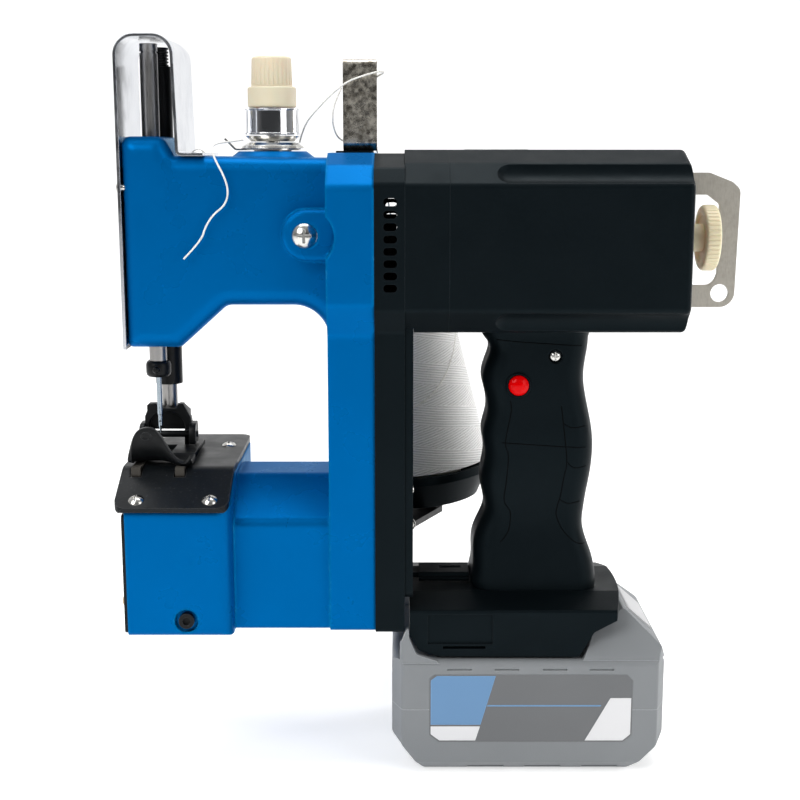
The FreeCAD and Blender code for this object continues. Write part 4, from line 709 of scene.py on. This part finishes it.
# name, material, height above the pack's face, and outline in the XZ plane
PACK_LABELS = [
    ("panel", LABEL_GREY, PANEL_HEIGHT, [(-42.8, 43.2), (-40.6, 45.1), (42.4, 45.1), (45.1, 42.4),
                                         (45.1, 17.4), (41.6, 14.2), (-38.8, 14.2), (-42.8, 17.4)]),
    ("blue_field", LABEL_BLUE, FIELD_HEIGHT, [(-42.2, 42.4), (-39.6, 44.5), (-14.2, 44.5), (-20.6, 22.2),
                                              (-42.2, 22.2)]),
    ("white_field", LABEL_WHITE, FIELD_HEIGHT, [(-42.2, 21.4), (-20.8, 21.4), (-22.8, 14.9), (-38.4, 14.9),
                                                (-42.2, 17.8)]),
    ("white_corner", LABEL_WHITE, FIELD_HEIGHT, [(35.5, 34.4), (44.5, 34.4), (44.5, 17.8), (41.2, 14.9),
                                                 (24.8, 14.9)]),
    ("blue_line", LABEL_BLUE, FIELD_HEIGHT, [(-17.6, 31.2), (31.6, 31.2), (31.2, 30.6), (-17.8, 30.6)]),
]


def add_pack_labels():
    """Blank coloured label on the front and back of the pack."""
    low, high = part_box("pack_lower")
    for side, face in (("front", low.y / MM), ("back", high.y / MM)):
        outward = -1.0 if face < 0 else 1.0
        for name, material, height, outline in PACK_LABELS:
            placed = [(-outward * x, z) for x, z in outline]
            sheet = plate([placed], "xz", face - outward * 0.1, face + outward * height, 0.02)
            add_piece("label_%s_%s" % (side, name), sheet, material, "pack")


# ---------------------------------------------------------------- foot, shank and needle clamp
def add_needle_clamp():
    low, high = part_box("needle_clamp")
    centre = ((low.x + high.x) / 2 / MM, 0.0, 0.0)
    bottom, top = low.z / MM, high.z / MM
    barrel = [(3.8, bottom), (4.4, bottom), (5.2, bottom + 0.7), (5.45, bottom + 1.8), (5.45, top - 1.8),
              (5.1, top - 0.6), (4.4, top), (3.8, top)]
    nut = turned_form(barrel, centre, "z")
    head = [(0.0, -7.1), (1.0, -7.1), (1.5, -6.6), (1.5, -5.0), (0.0, -5.0)]
    screw = turned_form(head, (centre[0], 0.0, (bottom + top) / 2), "y", 24)
    clamp = add_piece("clamp_nut", joined("clamp_nut", [nut, screw]), OXIDE, "needle_train")
    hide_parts("needle_clamp")


HINGE_PIN = (0.0, 8.0, 141.5)


def add_shank():
    """Arched yoke on the presser bar, with the two ears and the pin that the foot hangs on."""
    outer = [(-170.6, 140.0), (-170.4, 149.4), (-169.3, 152.0), (-169.3, 154.5), (-168.4, 155.3),
             (-165.4, 155.3), (-164.5, 154.6), (-163.8, 153.2), (-156.2, 153.2), (-155.6, 154.7),
             (-154.8, 155.3), (-153.0, 155.2), (-149.8, 149.0), (-148.6, 140.0), (-151.6, 140.0)]
    inner = arc((-160.6, 145.0), (8.0, 6.4), 0.0, 180.0, 16)
    arch = outer + inner + [(-168.6, 140.0)]
    ear = [(3.6, 137.6), (12.0, 137.6), (13.4, 139.4), (13.4, 144.8), (11.8, 146.8), (5.6, 146.4),
           (3.4, 144.4), (3.4, 138.4)]
    socket = [(-168.8, 143.0), (-151.6, 143.0), (-151.6, 150.4), (-154.6, 153.2), (-165.4, 153.2),
              (-168.8, 150.4)]
    pin = [(0.0, -172.6), (1.3, -172.6), (1.5, -172.3), (1.5, -146.9), (1.3, -146.6), (0.0, -146.6)]
    parts = [plate([arch], "xz", 7.6, 12.4, 0.5), plate([socket], "xz", 11.0, 21.8, 0.5),
             plate([ear], "yz", -172.4, -169.9, 0.4), plate([ear], "yz", -150.2, -147.2, 0.4),
             turned_form(pin, HINGE_PIN, "x", 24)]
    shank = add_piece("shank_yoke", joined("shank_yoke", parts), OXIDE, "presser")
    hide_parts("presser_shank")


# upper rim of the toe in the XZ plane, from the left
TOE_EDGE = [(-171.3, 137.2), (-170.9, 141.0), (-169.9, 145.6), (-168.2, 149.0), (-165.4, 150.9),
            (-162.2, 151.1), (-159.4, 149.8), (-156.8, 146.4), (-154.4, 141.8), (-151.8, 138.2),
            (-149.0, 136.2), (-146.8, 136.4), (-145.2, 138.6)]


def add_foot():
    """Sole with a scooped toe that rises high on the left, and lugs for its hinge pin."""
    rows = 12
    form = bmesh.new()
    grid = []
    for x, height in flowing(TOE_EDGE, 3):
        column = []
        for step in range(rows + 1):
            t = step / rows
            back, bend, tip = (-11.0, 135.6), (-24.6, 133.6), (-25.0, height)
            y, z = ((1 - t) ** 2 * a + 2 * t * (1 - t) * b + t * t * c for a, b, c in zip(back, bend, tip))
            column.append(form.verts.new((x * MM, y * MM, z * MM)))
        grid.append(column)
    for left, right in zip(grid, grid[1:]):
        for i in range(rows):
            form.faces.new((left[i], right[i], right[i + 1], left[i + 1])).smooth = True
    sheet = bpy.data.meshes.new("toe")
    form.to_mesh(sheet)
    form.free()
    holder = bpy.data.objects.new("holder", sheet)
    bpy.context.scene.collection.objects.link(holder)
    thick = holder.modifiers.new("thickness", "SOLIDIFY")
    thick.thickness = 1.9 * MM
    thick.offset = 0.0
    rounded = holder.modifiers.new("rounding", "BEVEL")
    rounded.width = 0.5 * MM
    rounded.segments = 3
    toe = bpy.data.meshes.new_from_object(holder.evaluated_get(bpy.context.evaluated_depsgraph_get()))
    bpy.data.objects.remove(holder)
    sole = [(-171.2, -11.5), (-145.2, -11.5), (-145.2, 19.0), (-148.0, 21.8), (-168.4, 21.8), (-171.2, 19.0)]
    slot = [(-168.0, -8.5), (-156.0, -8.5), (-156.0, 6.5), (-168.0, 6.5)]
    lug = [(6.8, 136.0), (12.0, 136.0), (12.0, 142.6)]
    lug += arc((9.2, 141.8), (2.8, 2.6), 15.0, 165.0, 8) + [(6.8, 142.6)]
    recess = [arc((-163.8, 147.4), (rim, 0.76 * rim), 0.0, 345.0, 23) for rim in (2.3, 1.8)]
    parts = [toe, plate([sole, slot], "xy", 134.4, 136.8, 0.3), plate(recess, "xz", -26.1, -25.4, 0.08)]
    parts += [plate([lug], "yz", x, x + 2.0, 0.3) for x in (-169.4, -152.6)]
    foot = add_piece("foot_sole", joined("foot_sole", parts), OXIDE, "foot")
    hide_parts("presser_foot")


def add_presser_spring():
    """Coil spring over the presser bar."""
    low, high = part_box("presser_spring")
    wire = 0.45 * MM
    turns = 6
    steps_per_turn = 28
    centre_x, centre_y = (low.x + high.x) / 2, (low.y + high.y) / 2
    radius = (high.x - low.x) / 2 - wire
    height = high.z - low.z
    curve = bpy.data.curves.new("spring", "CURVE")
    curve.dimensions = "3D"
    curve.bevel_depth = wire
    curve.bevel_resolution = 3
    curve.use_fill_caps = True
    spline = curve.splines.new("POLY")
    steps = steps_per_turn * turns
    spline.points.add(steps)
    for step, point in enumerate(spline.points):
        angle = 2 * math.pi * turns * step / steps
        point.co = (centre_x + radius * math.cos(angle), centre_y + radius * math.sin(angle),
                    low.z + wire + (height - 2 * wire) * step / steps, 1.0)
    holder = bpy.data.objects.new("holder", curve)
    mesh = bpy.data.meshes.new_from_object(holder)
    bpy.data.objects.remove(holder)
    spring = add_piece("spring_presser", mesh, STEEL, "machine")
    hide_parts("presser_spring")
    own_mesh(spring)


add_grip_details()
add_cone_strand()
add_motor_plate()
add_pack_labels()
add_needle_clamp()
add_shank()
add_foot()
add_presser_spring()
BASE_CAP_SCREW = ((-150.0, -45.0, 67.0), (-142.0, -33.0, 75.0))
BOX_COVER_SCREW = ((-176.0, -41.0, 73.0), (-168.0, -31.0, 83.0))
paint_patch("machine_screws", OXIDE, *BASE_CAP_SCREW)
paint_patch("machine_screws", BRONZE, *BOX_COVER_SCREW)
